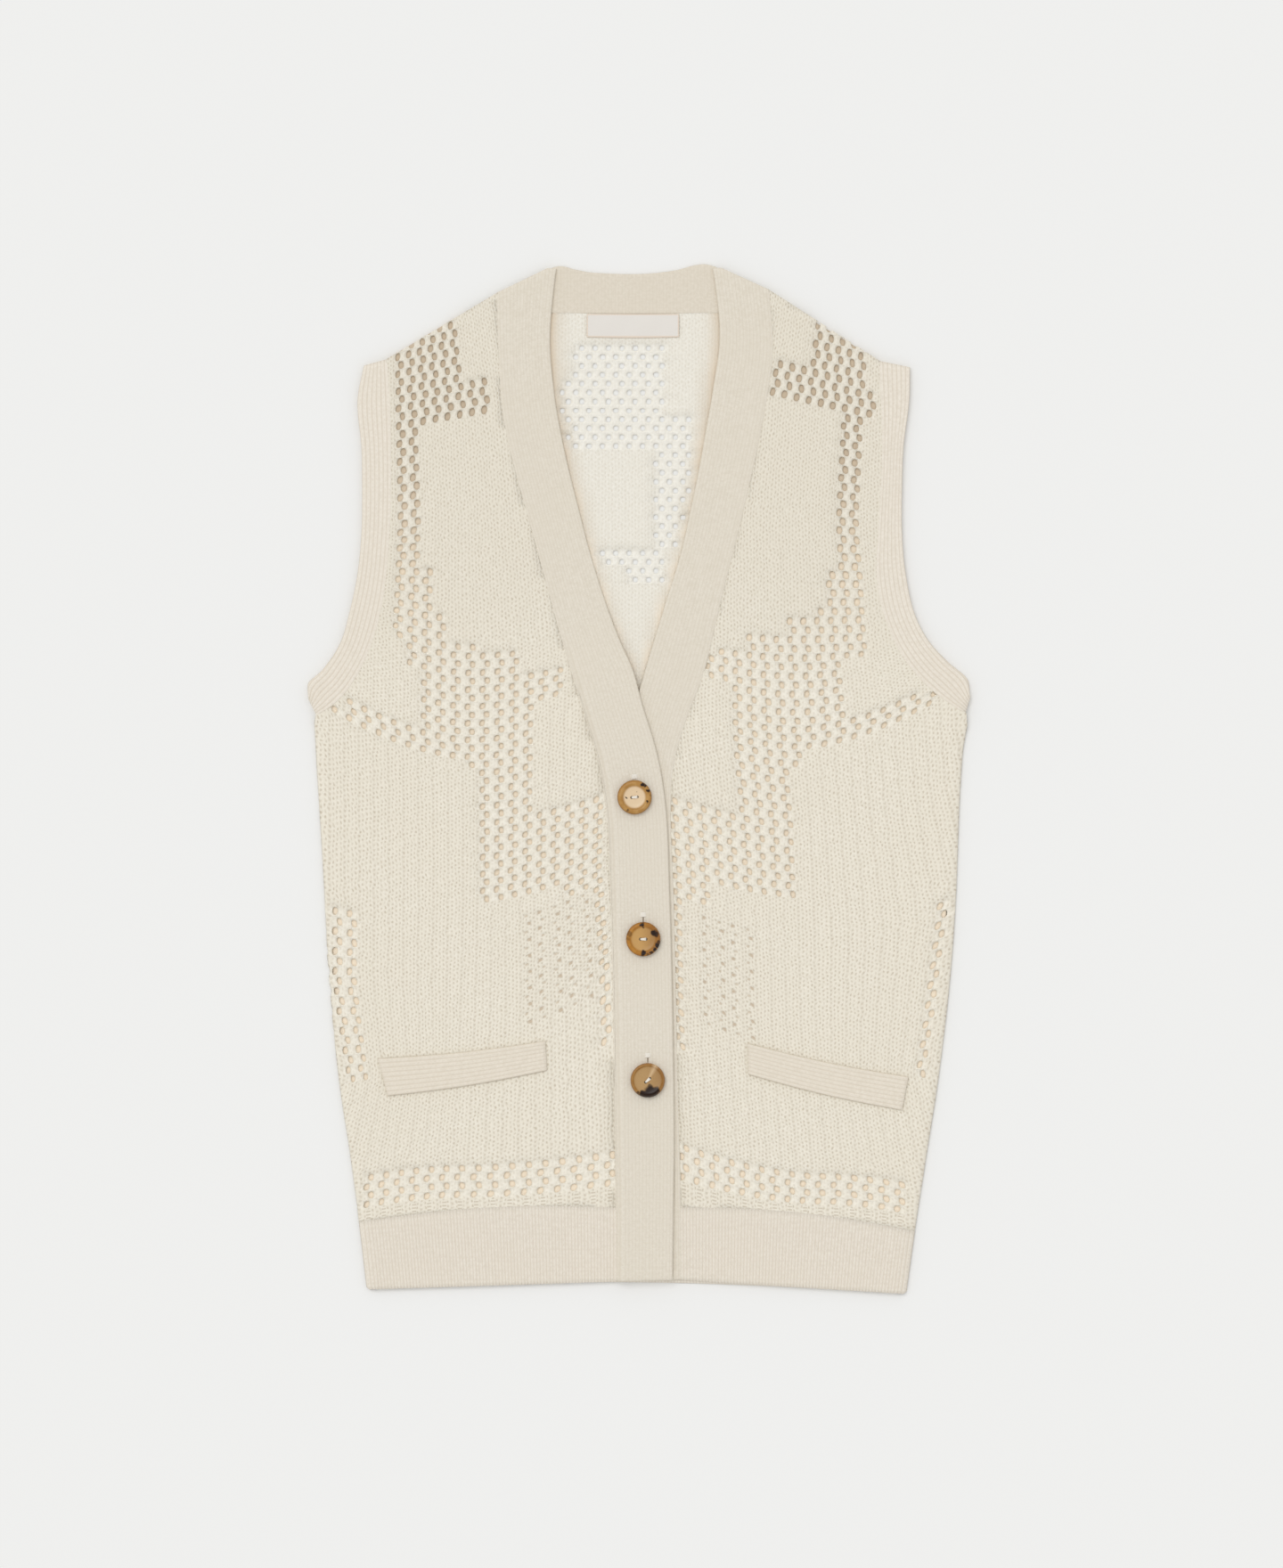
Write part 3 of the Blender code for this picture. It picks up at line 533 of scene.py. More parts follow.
def open_cells(bm, layers, holes, sway, walls, dimples=()):
    """Cuts each named cell of a grid of unit cells into two rings round a hole.

    holes maps a cell's (wale, course) to its hole.  sway is how far the wales
    swing to and fro between holes, in shares of a cell.  dimples are cells of plain
    knitting with a small eyelet that stays closed.
    """
    full = layers[2]
    lace = bm.verts.layers.float.new("lace")
    eyelet = bm.verts.layers.float.new("eyelet")
    chosen = {}
    for face in bm.faces:
        cell = cell_of(*face.calc_center_median().xy)
        if cell in holes:
            chosen[face] = cell
    around = {edge for face in chosen for edge in face.edges}
    for ring in (MIDDLE_RING, HOLE_RING):
        bmesh.ops.inset_individual(bm, faces=list(chosen), thickness=ring, use_even_offset=True)
        around |= {edge for face in chosen for edge in face.edges}
    gone = [face for face, cell in chosen.items() if cell not in dimples]
    bmesh.ops.delete(bm, geom=gone, context="FACES_ONLY")
    bmesh.ops.subdivide_edges(bm, edges=[e for e in around if e.is_valid], cuts=HOLE_SIDE_CUTS)
    inner = 0.5 - MIDDLE_RING - HOLE_RING
    open_ones = set(holes) - set(dimples)
    for vertex in bm.verts:
        x, y = vertex.co.x, vertex.co.y
        cell = cell_of(x, y)
        a, b = x - cell[0] - 0.5, y - cell[1] - 0.5
        reach = max(abs(a), abs(b))
        if cell not in holes or reach > CELL_BORDER:
            between = all(cell_of(x + da, y + db) in open_ones
                          for da in (-CELL_NUDGE, CELL_NUDGE) for db in (-CELL_NUDGE, CELL_NUDGE))
            vertex[full][0] = wall_share(walls.crest if between else BODY_WALL, walls)
            vertex[lace] = 1.0 if between else 0.0
            vertex.co.x += sway * math.sin(math.pi * y)
            continue
        hole = holes[cell]
        angle = math.atan2(b, a)
        round_x = hole.x + hole.half_width * math.cos(angle) + hole.lean * math.sin(angle)
        round_y = hole.y + hole.half_height * math.sin(angle)
        share = (reach - inner) / (0.5 - inner)
        border_x, border_y = a * 0.5 / reach, b * 0.5 / reach
        border_x += sway * math.sin(math.pi * (cell[1] + 0.5 + border_y))
        at_rim = share < RIM_SHARE
        if cell in dimples:
            share *= share
            strength = 1.0 if sum(cell) % 2 == 0 else FAINT_EYELET
            round_x, round_y = round_x * strength, round_y * strength
            # painted shade: the sunk middle of a closed eyelet takes the tan of the shade in an
            # open hole
            vertex[eyelet] = strength if at_rim else 0.0
            vertex[full][0] = wall_share(DIMPLE_WALL if at_rim else BODY_WALL, walls)
        else:
            vertex[lace] = 1.0
            vertex[full][0] = 0.0 if at_rim else wall_share(walls.round, walls)
        vertex.co.x = cell[0] + 0.5 + mix(round_x, border_x, share)
        vertex.co.y = cell[1] + 0.5 + mix(round_y, border_y, share)


def hole_shapes(blocks, shift, size, wale_step, course_step, lean=0.0):
    """A hole for every cell of each block, a little uneven, stepping from side to side."""
    shapes = {}
    for first, last, low, high in blocks:
        for course in range(first, last + 1):
            way = 1.0 if course % 2 == 0 else -1.0
            for wale in range(low, high + 1):
                half_width = size[0] / 2.0 / wale_step * random.uniform(*WIDTHS)
                shapes[(wale, course)] = Hole(
                    way * shift / wale_step + random.uniform(-OFF_PLACE, OFF_PLACE),
                    random.uniform(-OFF_PLACE, OFF_PLACE), half_width,
                    size[1] / 2.0 / course_step * random.uniform(*HEIGHTS), way * lean)
    return shapes


# ---------------------------------------------------------------- the back
# One flat panel of plain knitting with blocks of openwork that show inside
# the neck.  It lies on the table, under both fronts.
BACK_INSET = 2.6
BACK_EDGE = 4.4                  # the back thins over this width to lie under the side folds
NECKLINE = 616.3
BACK_SHOULDER_SLOPE = 0.6
BACK_WALE = 8.4
BACK_COURSE = 5.6
BACK_FIRST = (-36.1, 594.2)      # the hole at wale 0 of course 0, inside the neck
BACK_STEP = 1.9
BACK_HOLE = (3.4, 3.6)
BACK_WALLS = Walls(0.55, 1.0, 1.5)
BAND_MARGIN = 2.4                # the back's holes keep this far inside the bands' free edges
BACK_WALES = (-19, 28)
BACK_COURSES = (-6, 108)
BACK_SCORES = (0.004, 0.009, 0.991, 0.996)
# courses from first to last, wales from the wearer's right to the left
BACK_OPENWORK = (
    (0, 3, 0, 6), (4, 11, -2, 6), (8, 10, 7, 8), (11, 15, 6, 8), (16, 22, 6, 8),
    (23, 24, 1, 6), (25, 26, 4, 6),
)
BACK_COLOUR = (0.85, 0.82, 0.74)
# painted shade in the back's stitch gaps
BACK_GAP_SHADE = (0.66, 0.60, 0.50)
SHADED_TAN = (0.93, 0.81, 0.65)  # the back seen through the fronts, in their shade
DEEP_SHADE_TAN = (0.63, 0.52, 0.39)    # painted deeper shade: the back in the shoulder folds, and the shadow each band casts beside its free edge
EDGE_SHADES = (0.3, 0.65)        # how much of that shows beside the bands, low and high
COVER_COMES = (-2.0, 4.0)        # how far out from a band's free edge the back is covered
SHADE_COMES = (-11.0, 2.0)       # and where the shade beside the band comes and goes
SHADE_GOES = (4.0, 10.0)
COVER_DARKENS = (430.0, 545.0)   # the heights over which both darken
SHADE_DARKENS = (430.0, 590.0)
UNDER_FRONTS = 12.0              # below the V by this much, all of the back is covered
CUT_MERGE = 0.00002              # points this close to a cut are put on it
HALVINGS = 8


def back_ends(course):
    inset = BACK_INSET * (1.0 - smooth_step(*BACK_FOLD_ENDS, course))
    right, left = RIGHT.section(course), LEFT.section(course)
    return (inset - right.side_x, right.side_y), (left.side_x - inset, left.side_y)


def back_height(x, course):
    """How high up the back one of its sections runs at x."""
    ends = back_ends(course)
    share = (x - ends[0][0]) / (ends[1][0] - ends[0][0])
    right, left = back_ends(min(course, SHOULDER - 1))
    low = mix(right[1], left[1], share)
    if course <= SHOULDER - 1:
        return low
    shoulder = half_at(x).rows[SHOULDER]
    top = min(shoulder.side_y + BACK_SHOULDER_SLOPE * (shoulder.side_x - abs(x)), NECKLINE)
    return mix(low, top, course - SHOULDER + 1)


def section_through(height_at, x, y, low, high):
    """The section of a piece that runs through (x, y), by halving and then in proportion."""
    for _ in range(HALVINGS):
        middle = (low + high) / 2.0
        if height_at(x, middle) < y:
            low = middle
        else:
            high = middle
    below, above = height_at(x, low), height_at(x, high)
    return mix(low, high, (y - below) / (above - below))


def trim_and_score(bm, low, high, scores):
    """Cuts a piece to low <= x <= 1 and low y to high y, then scores lines for its folds."""
    cuts = [((0, 0, 0), (-1, 0, 0), True), ((1, 0, 0), (1, 0, 0), True),
            ((0, low, 0), (0, -1, 0), True), ((0, high, 0), (0, 1, 0), True)]
    cuts += [((score, 0, 0), (1, 0, 0), False) for score in scores]
    for spot, side, trims in cuts:
        bmesh.ops.bisect_plane(bm, geom=bm.verts[:] + bm.edges[:] + bm.faces[:], dist=CUT_MERGE,
                               plane_co=spot, plane_no=side, clear_outer=trims)


def unit_grid(bm, wales, courses):
    """A grid of unit cells between two wales and two courses."""
    columns, rows = wales[1] - wales[0], courses[1] - courses[0]
    bmesh.ops.create_grid(bm, x_segments=columns, y_segments=rows, size=1.0)
    for vertex in bm.verts:
        vertex.co.x = wales[0] + round((vertex.co.x + 1.0) / 2.0 * columns)
        vertex.co.y = courses[0] + round((vertex.co.y + 1.0) / 2.0 * rows)


def back_point(wale, course):
    """Where a wale and a course of the back cross."""
    return BACK_FIRST[0] - BACK_STEP + wale * BACK_WALE, BACK_FIRST[1] - course * BACK_COURSE


def band_edge(x, y):
    """How far from the middle the free edge of the front band beside a point lies."""
    section = half_at(x).section
    course = section_through(lambda _, at: section(at).edge_y, x, y, 0.0, float(SHOULDER))
    return section(course).edge_x


def shows_in_neck(cell, hole):
    x, y = back_point(cell[0] + hole.x, cell[1])
    return abs(x) <= band_edge(x, y) - BAND_MARGIN


bm = bmesh.new()
unit_grid(bm, BACK_WALES, BACK_COURSES)
layers = knit_layers(bm)
wale, row, full = layers
holes = hole_shapes(BACK_OPENWORK, BACK_STEP, BACK_HOLE, BACK_WALE, BACK_COURSE)
holes = {cell: hole for cell, hole in holes.items() if shows_in_neck(cell, hole)}
open_cells(bm, layers, holes, BACK_STEP / BACK_WALE, BACK_WALLS)
for vertex in bm.verts:
    vertex[wale] = vertex.co.x * STITCHES_PER_HOLE
    vertex[row] = -vertex.co.y * COURSES_PER_HOLE
    x, y = back_point(vertex.co.x - 0.5, vertex.co.y - 0.5)
    course = section_through(back_height, x, y, -1.0, SHOULDER + 1.0)
    right, left = back_ends(course)
    vertex.co = ((x - right[0]) / (left[0] - right[0]), course, 0.0)
trim_and_score(bm, HEM_TOP, SHOULDER, BACK_SCORES)
for vertex in bm.verts:
    right, left = back_ends(vertex.co.y)
    x = mix(right[0], left[0], vertex.co.x)
    under_fold = smooth_step(BACK_EDGE, 0.0, min(x - right[0], left[0] - x))
    under_fold *= 1.0 - smooth_step(*BACK_FOLD_ENDS, vertex.co.y)
    vertex[full][0] *= 1.0 - under_fold
    vertex.co = place(x, back_height(x, vertex.co.y), 0.0)
back_knit = knit_material("back_knit", BACK_COLOUR, BACK_GAP_SHADE, 0.22, 0.5,
                          shades=(("covered", SHADED_TAN), ("folded", DEEP_SHADE_TAN)),
                          Open_Every_Second=0.3)
# painted shade: covered gives the back the tan of the fronts' shade where they lie over it, and
# folded paints deeper shade towards the shoulders and the shadow beside each band's free edge
covered = bm.verts.layers.float.new("covered")
folded = bm.verts.layers.float.new("folded")
lace = bm.verts.layers.float["lace"]
for vertex in bm.verts:
    x, y = vertex.co.x / MM, vertex.co.y / MM + HEIGHT_MIDDLE
    if y < half_at(x).rows[UNDERARM].edge_y - UNDER_FRONTS:
        vertex[covered] = vertex[lace] = 1.0
        continue
    beyond = abs(x) - band_edge(x, y)
    beside = smooth_step(*SHADE_COMES, beyond) * (1.0 - smooth_step(*SHADE_GOES, beyond))
    vertex[covered] = smooth_step(*COVER_COMES, beyond)
    vertex[lace] = max(vertex[lace], vertex[covered])
    vertex[folded] = max(vertex[covered] * smooth_step(*COVER_DARKENS, y),
                         beside * mix(*EDGE_SHADES, smooth_step(*SHADE_DARKENS, y)))
finish_cloth("back_panel", bm, layers, CREST_WALL, BACK_WALLS.rim / CREST_WALL, back_knit, "back",
             (394.0, 570.0, 188000.0))

# ---------------------------------------------------------------- the fronts
# Two panels of plain knitting crossed by rectangular bands of openwork.  Each
# is sewn to the back at its shoulder, turns down to it at the side, and rises
# a little between its edges.
FRONT_UNDERSIDE = BODY_WALL + GAP
FRONT_PUFF = 0.35
SIDE_FOLD_SHARE = 0.155
SIDE_FOLD_WIDTH = 0.05
SIDE_FOLD_DEPTH = 0.85
SIDE_FOLD_TOP = 5.0
FOLD_RADIUS = 5.3
FOLD_CLEARANCE = 0.3
HEM_BOW = 4.5
INNER_SHARE = 0.8                # of the wall, by which its inner face ends inside the side fold

# Where the net of holes runs: see each row's middle wale, the distance
# between wales on both sides of it, its tilt towards the band, and its rise
# nine wales away at the side and at the band.
NetRow = namedtuple("NetRow", "course x y side_pitch band_pitch tilt side_rise band_rise")
RIGHT_NET = tuple(NetRow(*row) for row in (
    (-42, 115.5, 603, 6.8, 6.8, 1.8, 0, 0),
    (-34, 110.5, 558.5, 7.6, 7.6, 1.5, 0, 0),
    (-22, 106, 488.5, 8.2, 8.2, 0, -14, 0),
    (-8, 104.5, 406, 9.2, 9.2, 0, 23, 9),
    (0, 105, 363.5, 9.2, 9.2, 0, 28, 18),
    (5, 105, 337.5, 9.3, 9.1, 0, 29, 17),
    (14, 104.5, 290, 9.3, 8.9, 0, 22, 15.5),
    (22, 104.5, 247.5, 9.3, 8.8, 0, 11.5, 20.5),
    (32, 105.9, 195, 9.15, 9.34, 0, 1.6, 28),
    (36, 106.5, 174, 8.7, 9.55, 0, -2.6, 31),
    (42, 108.2, 142.3, 7.9, 9.87, 0, -7.5, 23.3),
    (54, 111.5, 79, 9.5, 10.5, 0, -12, 8),
    (58, 111.5, 57, 9.5, 10.5, 0, -12, 7),
))
LEFT_NET = tuple(NetRow(*row) for row in (
    (-42, 107, 604, 7, 7, 1.9, 0, 0),
    (-34, 100.5, 557, 7.7, 7.6, 1.7, 0, 0),
    (-22, 95.5, 487, 8.1, 8.1, 0, -7, 0),
    (-8, 97.5, 405, 8.8, 8.6, 0, 5, 9.5),
    (0, 99.5, 359.5, 9.4, 9.1, 0, 25, 17),
    (4, 100.5, 338.5, 9.4, 9.2, 0, 29, 20),
    (12, 104, 294.5, 9.4, 9.05, 0, 24.5, 15.5),
    (20, 105.5, 250.5, 10.2, 8.95, 0, 25, 16.5),
    (25, 106.1, 224.1, 10.75, 8.98, 0, 24.8, 18.2),
    (31, 106.9, 192.4, 10.05, 9.02, 0, 17.8, 20.3),
    (36, 107.5, 166, 9.5, 9.05, 0, 11.9, 22),
    (42, 110, 135.3, 8.5, 9.2, 0, 3.5, 20.7),
    (54, 115, 74, 10, 9.5, 0, -14, 18),
    (58, 115, 53, 10, 9.5, 0, -14, 14),
))
NET_REACH = 9
NET_BEND = 1.7
ZIGZAG = 2.8
NET_WALES = (-13, 14)
NET_COURSES = (-54, 64)
FRONT_HOLE = (3.55, 4.1)
SHOULDER_HOLE = (4.4, 4.7)
SHOULDER_COURSES = (-20, -6)     # between which the holes grow from one to the other
WALE_STEP = 9.2
FRONT_WALLS = Walls(0.7, 1.35, 1.95)
EYELET = (1.4, 1.7)
SIDE_MARGIN = 5.6                # holes keep this far from the side fold
ARM_MARGIN = 4.2                 # and this far from the armhole
SEAM_MARGIN = 2.4
COURSE_STEP = 5.15
HOLE_LEAN = 0.03
UPPER_SHADE = 0.12
UPPER_START = (360.0, 460.0)     # the heights over which it begins
FRONT_SCORES = (0.004, 0.01, 0.018, 0.03, 0.115, 0.155, 0.195)

# Blocks of holes: courses from first to last, wales from the band to the side.
RIGHT_OPENWORK = (
    (-43, -37, 0, 5), (-36, -33, -3, 5),             # shoulder
    (-32, -17, 4, 5),                                # strip along the armhole
    (-16, -12, 3, 5), (-11, -9, 2, 5), (-8, -8, 0, 5), (-7, -5, -3, 4),
    (-4, -1, -7, 3), (0, 5, -4, 3),
    (3, 5, 4, 11),                                   # below the armhole
    (6, 6, -4, 0), (7, 12, -4, -1), (13, 22, -9, -1), (23, 24, -9, -7),
    (25, 43, -9, -9),                                # strip along the front band
    (25, 33, 8, 9), (34, 42, 8, 10),                 # strip along the side
    (54, 57, -9, 8),                                 # above the hem
)
LEFT_OPENWORK = (
    (-43, -39, 1, 6), (-38, -35, -2, 6),
    (-34, -17, 4, 5),
    (-16, -13, 3, 5), (-12, -12, 2, 5), (-11, -10, 0, 5), (-9, -8, -3, 5), (-7, -7, -5, 5),
    (-6, -4, -6, 3), (-3, 3, -4, 3),
    (1, 3, 4, 11),
    (4, 5, -4, 0), (6, 11, -4, -1), (12, 20, -9, -1), (21, 23, -9, -7),
    (24, 42, -9, -9),
    (25, 33, 8, 9), (34, 42, 8, 10),
    (54, 57, -9, 7),
)
# Closed eyelets, where the pocket lies behind the front, each a sunk dimple painted with shade.
RIGHT_EYELETS = ((25, 38, -8, -4),)
LEFT_EYELETS = ((25, 38, -7, -4),)


def hem_bow(course):
    return HEM_BOW * smooth_step(0.0, HEM_TOP, course) * (1.0 - smooth_step(HEM_TOP, 3.0, course))


def fold_height(distance, height):
    """Height of a surface that turns down to the table at the side fold."""
    if distance >= FOLD_RADIUS:
        return height
    share = 1.0 - max(distance, 0.0) / FOLD_RADIUS
    return FOLD_CLEARANCE + (height - FOLD_CLEARANCE) * math.sqrt(1.0 - share * share)


def front_underside(course, share):
    along = (course - HEM_TOP) / (SHOULDER - HEM_TOP)
    puff = FRONT_PUFF * math.sin(math.pi * min(max(along, 0.0), 1.0)) ** 0.5
    puff *= math.sin(math.pi * min(max(share, 0.0), 1.0))
    fold_length = 1.0 - smooth_step(SIDE_FOLD_TOP - 1.0, SIDE_FOLD_TOP, course)
    fold = math.exp(-((share - SIDE_FOLD_SHARE) / SIDE_FOLD_WIDTH) ** 2)
    return FRONT_UNDERSIDE + puff * (1.0 - SIDE_FOLD_DEPTH * fold_length * fold)


def straight_through(pairs, at):
    """Straight lines through (place, value) pairs, and on beyond both ends."""
    for (low, low_value), (high, high_value) in zip(pairs, pairs[1:]):
        if at <= high:
            break
    return low_value + (high_value - low_value) * (at - low) / (high - low)


def net_of(rows):
    """A function that gives where a wale and a course of the knitting cross."""
    columns = [[(row.course, value) for row, value in zip(rows, column)]
               for column in list(zip(*rows))[1:]]

    def point(wale, course):
        x, y, side_pitch, band_pitch, tilt, side_rise, band_rise = (
            straight_through(column, course) for column in columns)
        x += wale * (side_pitch if wale > 0 else band_pitch)
        y -= wale * tilt
        y += (side_rise if wale > 0 else band_rise) * (abs(wale) / NET_REACH) ** NET_BEND
        return x, y
    return point


def inner_edge(across, course):
    """Where a front's inner face ends: inside the side fold, and at the armhole seam above it."""
    folded = 1.0 - smooth_step(*FRONT_FOLD_ENDS, course)
    return across.side_x - INNER_SHARE * BODY_WALL * folded


def make_front(half, net, openwork, eyelets):
    """One front, knitted as a net of cells and then cut to its outline."""
    side, _, section, sign = half

    def height_at(x, course):
        across = section(course)
        share = (across.side_x - x) / (across.side_x - across.seam_x)
        bow = hem_bow(course) * math.sin(math.pi * min(max(share, 0.0), 1.0))
        return mix(across.side_y, across.seam_y, share) + bow

    def clear_of_edges(x, y):
        course = section_through(height_at, x, y, -1.0, SHOULDER + 3.0)
        across, margin = section(course), SIDE_MARGIN if course < UNDERARM else ARM_MARGIN
        return across.seam_x + SEAM_MARGIN < x < across.side_x - margin

    net_point = net_of(net)
    step = ZIGZAG / 2.0 * sign
    holes = {}
    for cell, hole in hole_shapes(openwork, step, FRONT_HOLE, WALE_STEP, COURSE_STEP,
                                  HOLE_LEAN * sign).items():
        grown = 1.0 - smooth_step(*SHOULDER_COURSES, cell[1])
        width, height = (mix(1.0, large / small, grown)
                         for small, large in zip(FRONT_HOLE, SHOULDER_HOLE))
        if clear_of_edges(*net_point(*cell)):
            holes[cell] = hole._replace(half_width=hole.half_width * width,
                                        half_height=hole.half_height * height)
    dimples = hole_shapes(eyelets, step, EYELET, WALE_STEP, COURSE_STEP, HOLE_LEAN * sign)
    bm = bmesh.new()
    unit_grid(bm, NET_WALES, NET_COURSES)
    layers = knit_layers(bm)
    wale, row, _ = layers
    open_cells(bm, layers, {**dimples, **holes}, step / WALE_STEP, FRONT_WALLS,
               set(dimples) - set(holes))
    for vertex in bm.verts:
        vertex[wale] = vertex.co.x * STITCHES_PER_HOLE
        vertex[row] = -vertex.co.y * COURSES_PER_HOLE
        x, y = net_point(vertex.co.x - 0.5, vertex.co.y - 0.5)
        x -= step
        course = section_through(height_at, x, y, -1.0, SHOULDER + 3.0)
        across = section(course)
        edge = inner_edge(across, course)
        vertex.co = ((edge - x) / (edge - across.seam_x), course, 0.0)
    trim_and_score(bm, HEM_TOP, SHOULDER, FRONT_SCORES)
    upper = bm.verts.layers.float.new("upper")
    for vertex in bm.verts:
        share, course = vertex.co.x, vertex.co.y
        across = section(course)
        edge = inner_edge(across, course)
        x = mix(edge, across.seam_x, share)
        y = height_at(x, course)
        flat = front_underside(course, share)
        lift = mix(fold_height(edge - x, flat), flat, smooth_step(*FRONT_FOLD_ENDS, course))
        vertex.co = place(sign * x, y, lift)
        vertex[upper] = UPPER_SHADE * smooth_step(*UPPER_START, y)
    finish_cloth(f"front_panel_{side}", bm, layers, CREST_WALL, FRONT_WALLS.rim / CREST_WALL,
                 body_knit, f"front_{side}", (176.0, 590.0, 72000.0))


make_front(RIGHT, RIGHT_NET, RIGHT_OPENWORK, RIGHT_EYELETS)
make_front(LEFT, LEFT_NET, LEFT_OPENWORK, LEFT_EYELETS)

# ---------------------------------------------------------------- the ribbed hem
# A deep band of one-by-one rib knitted on below the body: two rows of upright
# ribs on the fronts, and the back's own hem flat under them.
RIB_WALL = 2.03
RIB_RISE = 0.35
RIB_PITCH = 2.0
RIB_STITCH = 2.6                 # length of one stitch along a rib
RIB_THIN = 0.35                  # the least share of its wall that the hem keeps
RIB_SCALLOP = 0.5                # how far each rib dips below the next at the hem's edge
HEM_INSET = 5.7
HEM_TUCK = 0.4                   # the first rib course, drawn up into the body's last one
BACK_HEM_GAP = 0.35
BACK_HEM_BOW = 5.5
RIBS_FROM = 200.0                # the back's ribs are counted from this far to the wearer's right
RIB_COLOUR = (0.805, 0.75, 0.66)
# painted shade in the gaps and grooves of the ribs
RIB_GAP_SHADE = (0.58, 0.49, 0.375)
rib_knit = knit_material("rib_knit", RIB_COLOUR, RIB_GAP_SHADE, 0.08, 0.3, groove_shade=0.38, Unevenness=0.2)


def laid_strip(name, shares, along, point, wall, thin, material, node, flat,
               rise=0.0, fading=(2.0, 3.0)):
    """A strip of cloth: point gives the place, stitches and wall for a share and a step.

    rise is how far its ribs stand up, one to each column of stitches, and fading
    gives the steps between which they die away.
    """
    bm = bmesh.new()
    columns, rows = len(shares) - 1, len(along) - 1
    bmesh.ops.create_grid(bm, x_segments=columns, y_segments=rows, size=1.0)
    layers = knit_layers(bm)
    wale, row, full = layers
    for vertex in bm.verts:
        share = shares[round((vertex.co.x + 1.0) / 2.0 * columns)]
        step = along[round((vertex.co.y + 1.0) / 2.0 * rows)]
        vertex.co, vertex[wale], vertex[row], edge = point(share, step)
        stands = rib_bulge(vertex[wale]) * (1.0 - smooth_step(*fading, step))
        sunk = rise / (wall + rise) / (1.0 - thin) * (1.0 - stands)
        vertex[full][0] = edge * (1.0 - sunk)
    finish_cloth(name, bm, layers, wall + rise, thin, material, node, flat)


def steps(low, high, count):
    return [mix(low, high, i / count) for i in range(count + 1)]


def close_at_edges(near, start, count):
    """Shares across a strip: the near ones at each edge, and even ones between them."""
    return near + steps(start, 1.0 - start, count) + [1.0 - share for share in reversed(near)]


def rib_bulge(ribs):
    """How far a one-by-one rib stands up at a number of ribs along the strip."""
    return math.sin(math.pi * ribs) ** 2


def make_front_hem(half):
    side, rows, section, sign = half
    width, length = rows[0].side_x - rows[0].seam_x, rows[HEM_TOP].seam_y - rows[0].seam_y
    ribs = round(width / RIB_PITCH)

    def point(share, step):
        across = section(step)
        edge = inner_edge(across, step)
        inside = (edge - across.seam_x) * share
        reach = (across.side_x - edge + inside) / (across.side_x - across.seam_x)
        y = mix(across.side_y, across.seam_y, reach) + hem_bow(step) * math.sin(math.pi * reach)
        y += HEM_TUCK * smooth_step(0.9, 1.0, step)
        y -= RIB_SCALLOP * rib_bulge(share * ribs) * (1.0 - smooth_step(0.0, 0.05, step))
        height = fold_height(inside, FRONT_UNDERSIDE)
        return place(sign * (edge - inside), y, height), share * ribs, \
            mix(across.side_y, across.seam_y, share) / RIB_STITCH, smooth_step(0.0, 0.035, step)

    laid_strip(f"hem_{side}", steps(0.0, 1.0, ribs * 6),
               [0.0, 0.012, 0.03, 0.05] + steps(0.1, 1.0, 9), point, RIB_WALL, RIB_THIN, rib_knit,
               f"hem_rib_{side}", (width, length), rise=RIB_RISE, fading=(0.9, 1.0))


def back_hem_point(share, step):
    right, left = RIGHT.section(step), LEFT.section(step)
    x = mix(HEM_INSET - right.side_x, left.side_x - HEM_INSET, share)
    y = mix(right.side_y, left.side_y, share)
    y += BACK_HEM_BOW * math.sin(math.pi * share) * (1.0 - step)
    y -= BACK_HEM_GAP * smooth_step(0.9, 1.0, step)
    return place(x, y, 0.0), (x + RIBS_FROM) / RIB_PITCH, y / RIB_STITCH, \
        smooth_step(0.0, 0.04, step)


laid_strip("hem_back", steps(0.0, 1.0, 60), [0.0, 0.02, 0.05] + steps(0.1, 1.0, 9), back_hem_point,
           RIB_WALL, RIB_THIN, rib_knit, "hem_rib_back", (332.0, 42.0))
make_front_hem(RIGHT)
make_front_hem(LEFT)

# ---------------------------------------------------------------- the front bands
# A double band of fine, close knitting, folded at its free edge and linked to
# the front along its seam.  The right one laps over the left one and carries
# the buttons.
BAND_WALL = 2.4
BAND_THIN = 0.3                  # the least share of its wall that an edge keeps
BAND_LINE = 2.15                 # between the faint lines that run along the band
BAND_LINE_RISE = 0.2
BAND_STITCH = 1.7
BAND_CORNER = 3.0                # how far the free edge rounds off at the shoulder fold
CORNER_START = 0.85
BAND_ROOM = 0.25                 # over a band, for the lines that stand up on it
LAP_UNDERSIDE = FRONT_UNDERSIDE + BAND_WALL + BAND_ROOM + GAP
LAP_CLIMB = (0.04, 0.14)         # the shares of its width over which the lapped band rises
LAP_ENDS = (UNDERARM + 0.2, UNDERARM + 3.5)
LAP_SEAM_LIFT = 0.3
LINK_LAP = 1.0                   # a linked seam, where the band takes in the front's edge
BAND_COLOUR = (0.765, 0.712, 0.615)
# painted shade in the bands' stitch gaps and grooves
BAND_GAP_SHADE = (0.60, 0.52, 0.40)
band_knit = knit_material("band_knit", BAND_COLOUR, BAND_GAP_SHADE, 0.05, 0.2, groove_shade=0.26, Slant=0.3,
                          Unevenness=0.25)


def lap_height(course, share):
    """Underside of the lapped band: over the other band, then down to the back."""
    lapped = 1.0 - smooth_step(*LAP_ENDS, course)
    return mix(FRONT_UNDERSIDE + LAP_SEAM_LIFT * lapped,
               mix(FRONT_UNDERSIDE, LAP_UNDERSIDE, lapped), smooth_step(*LAP_CLIMB, share))


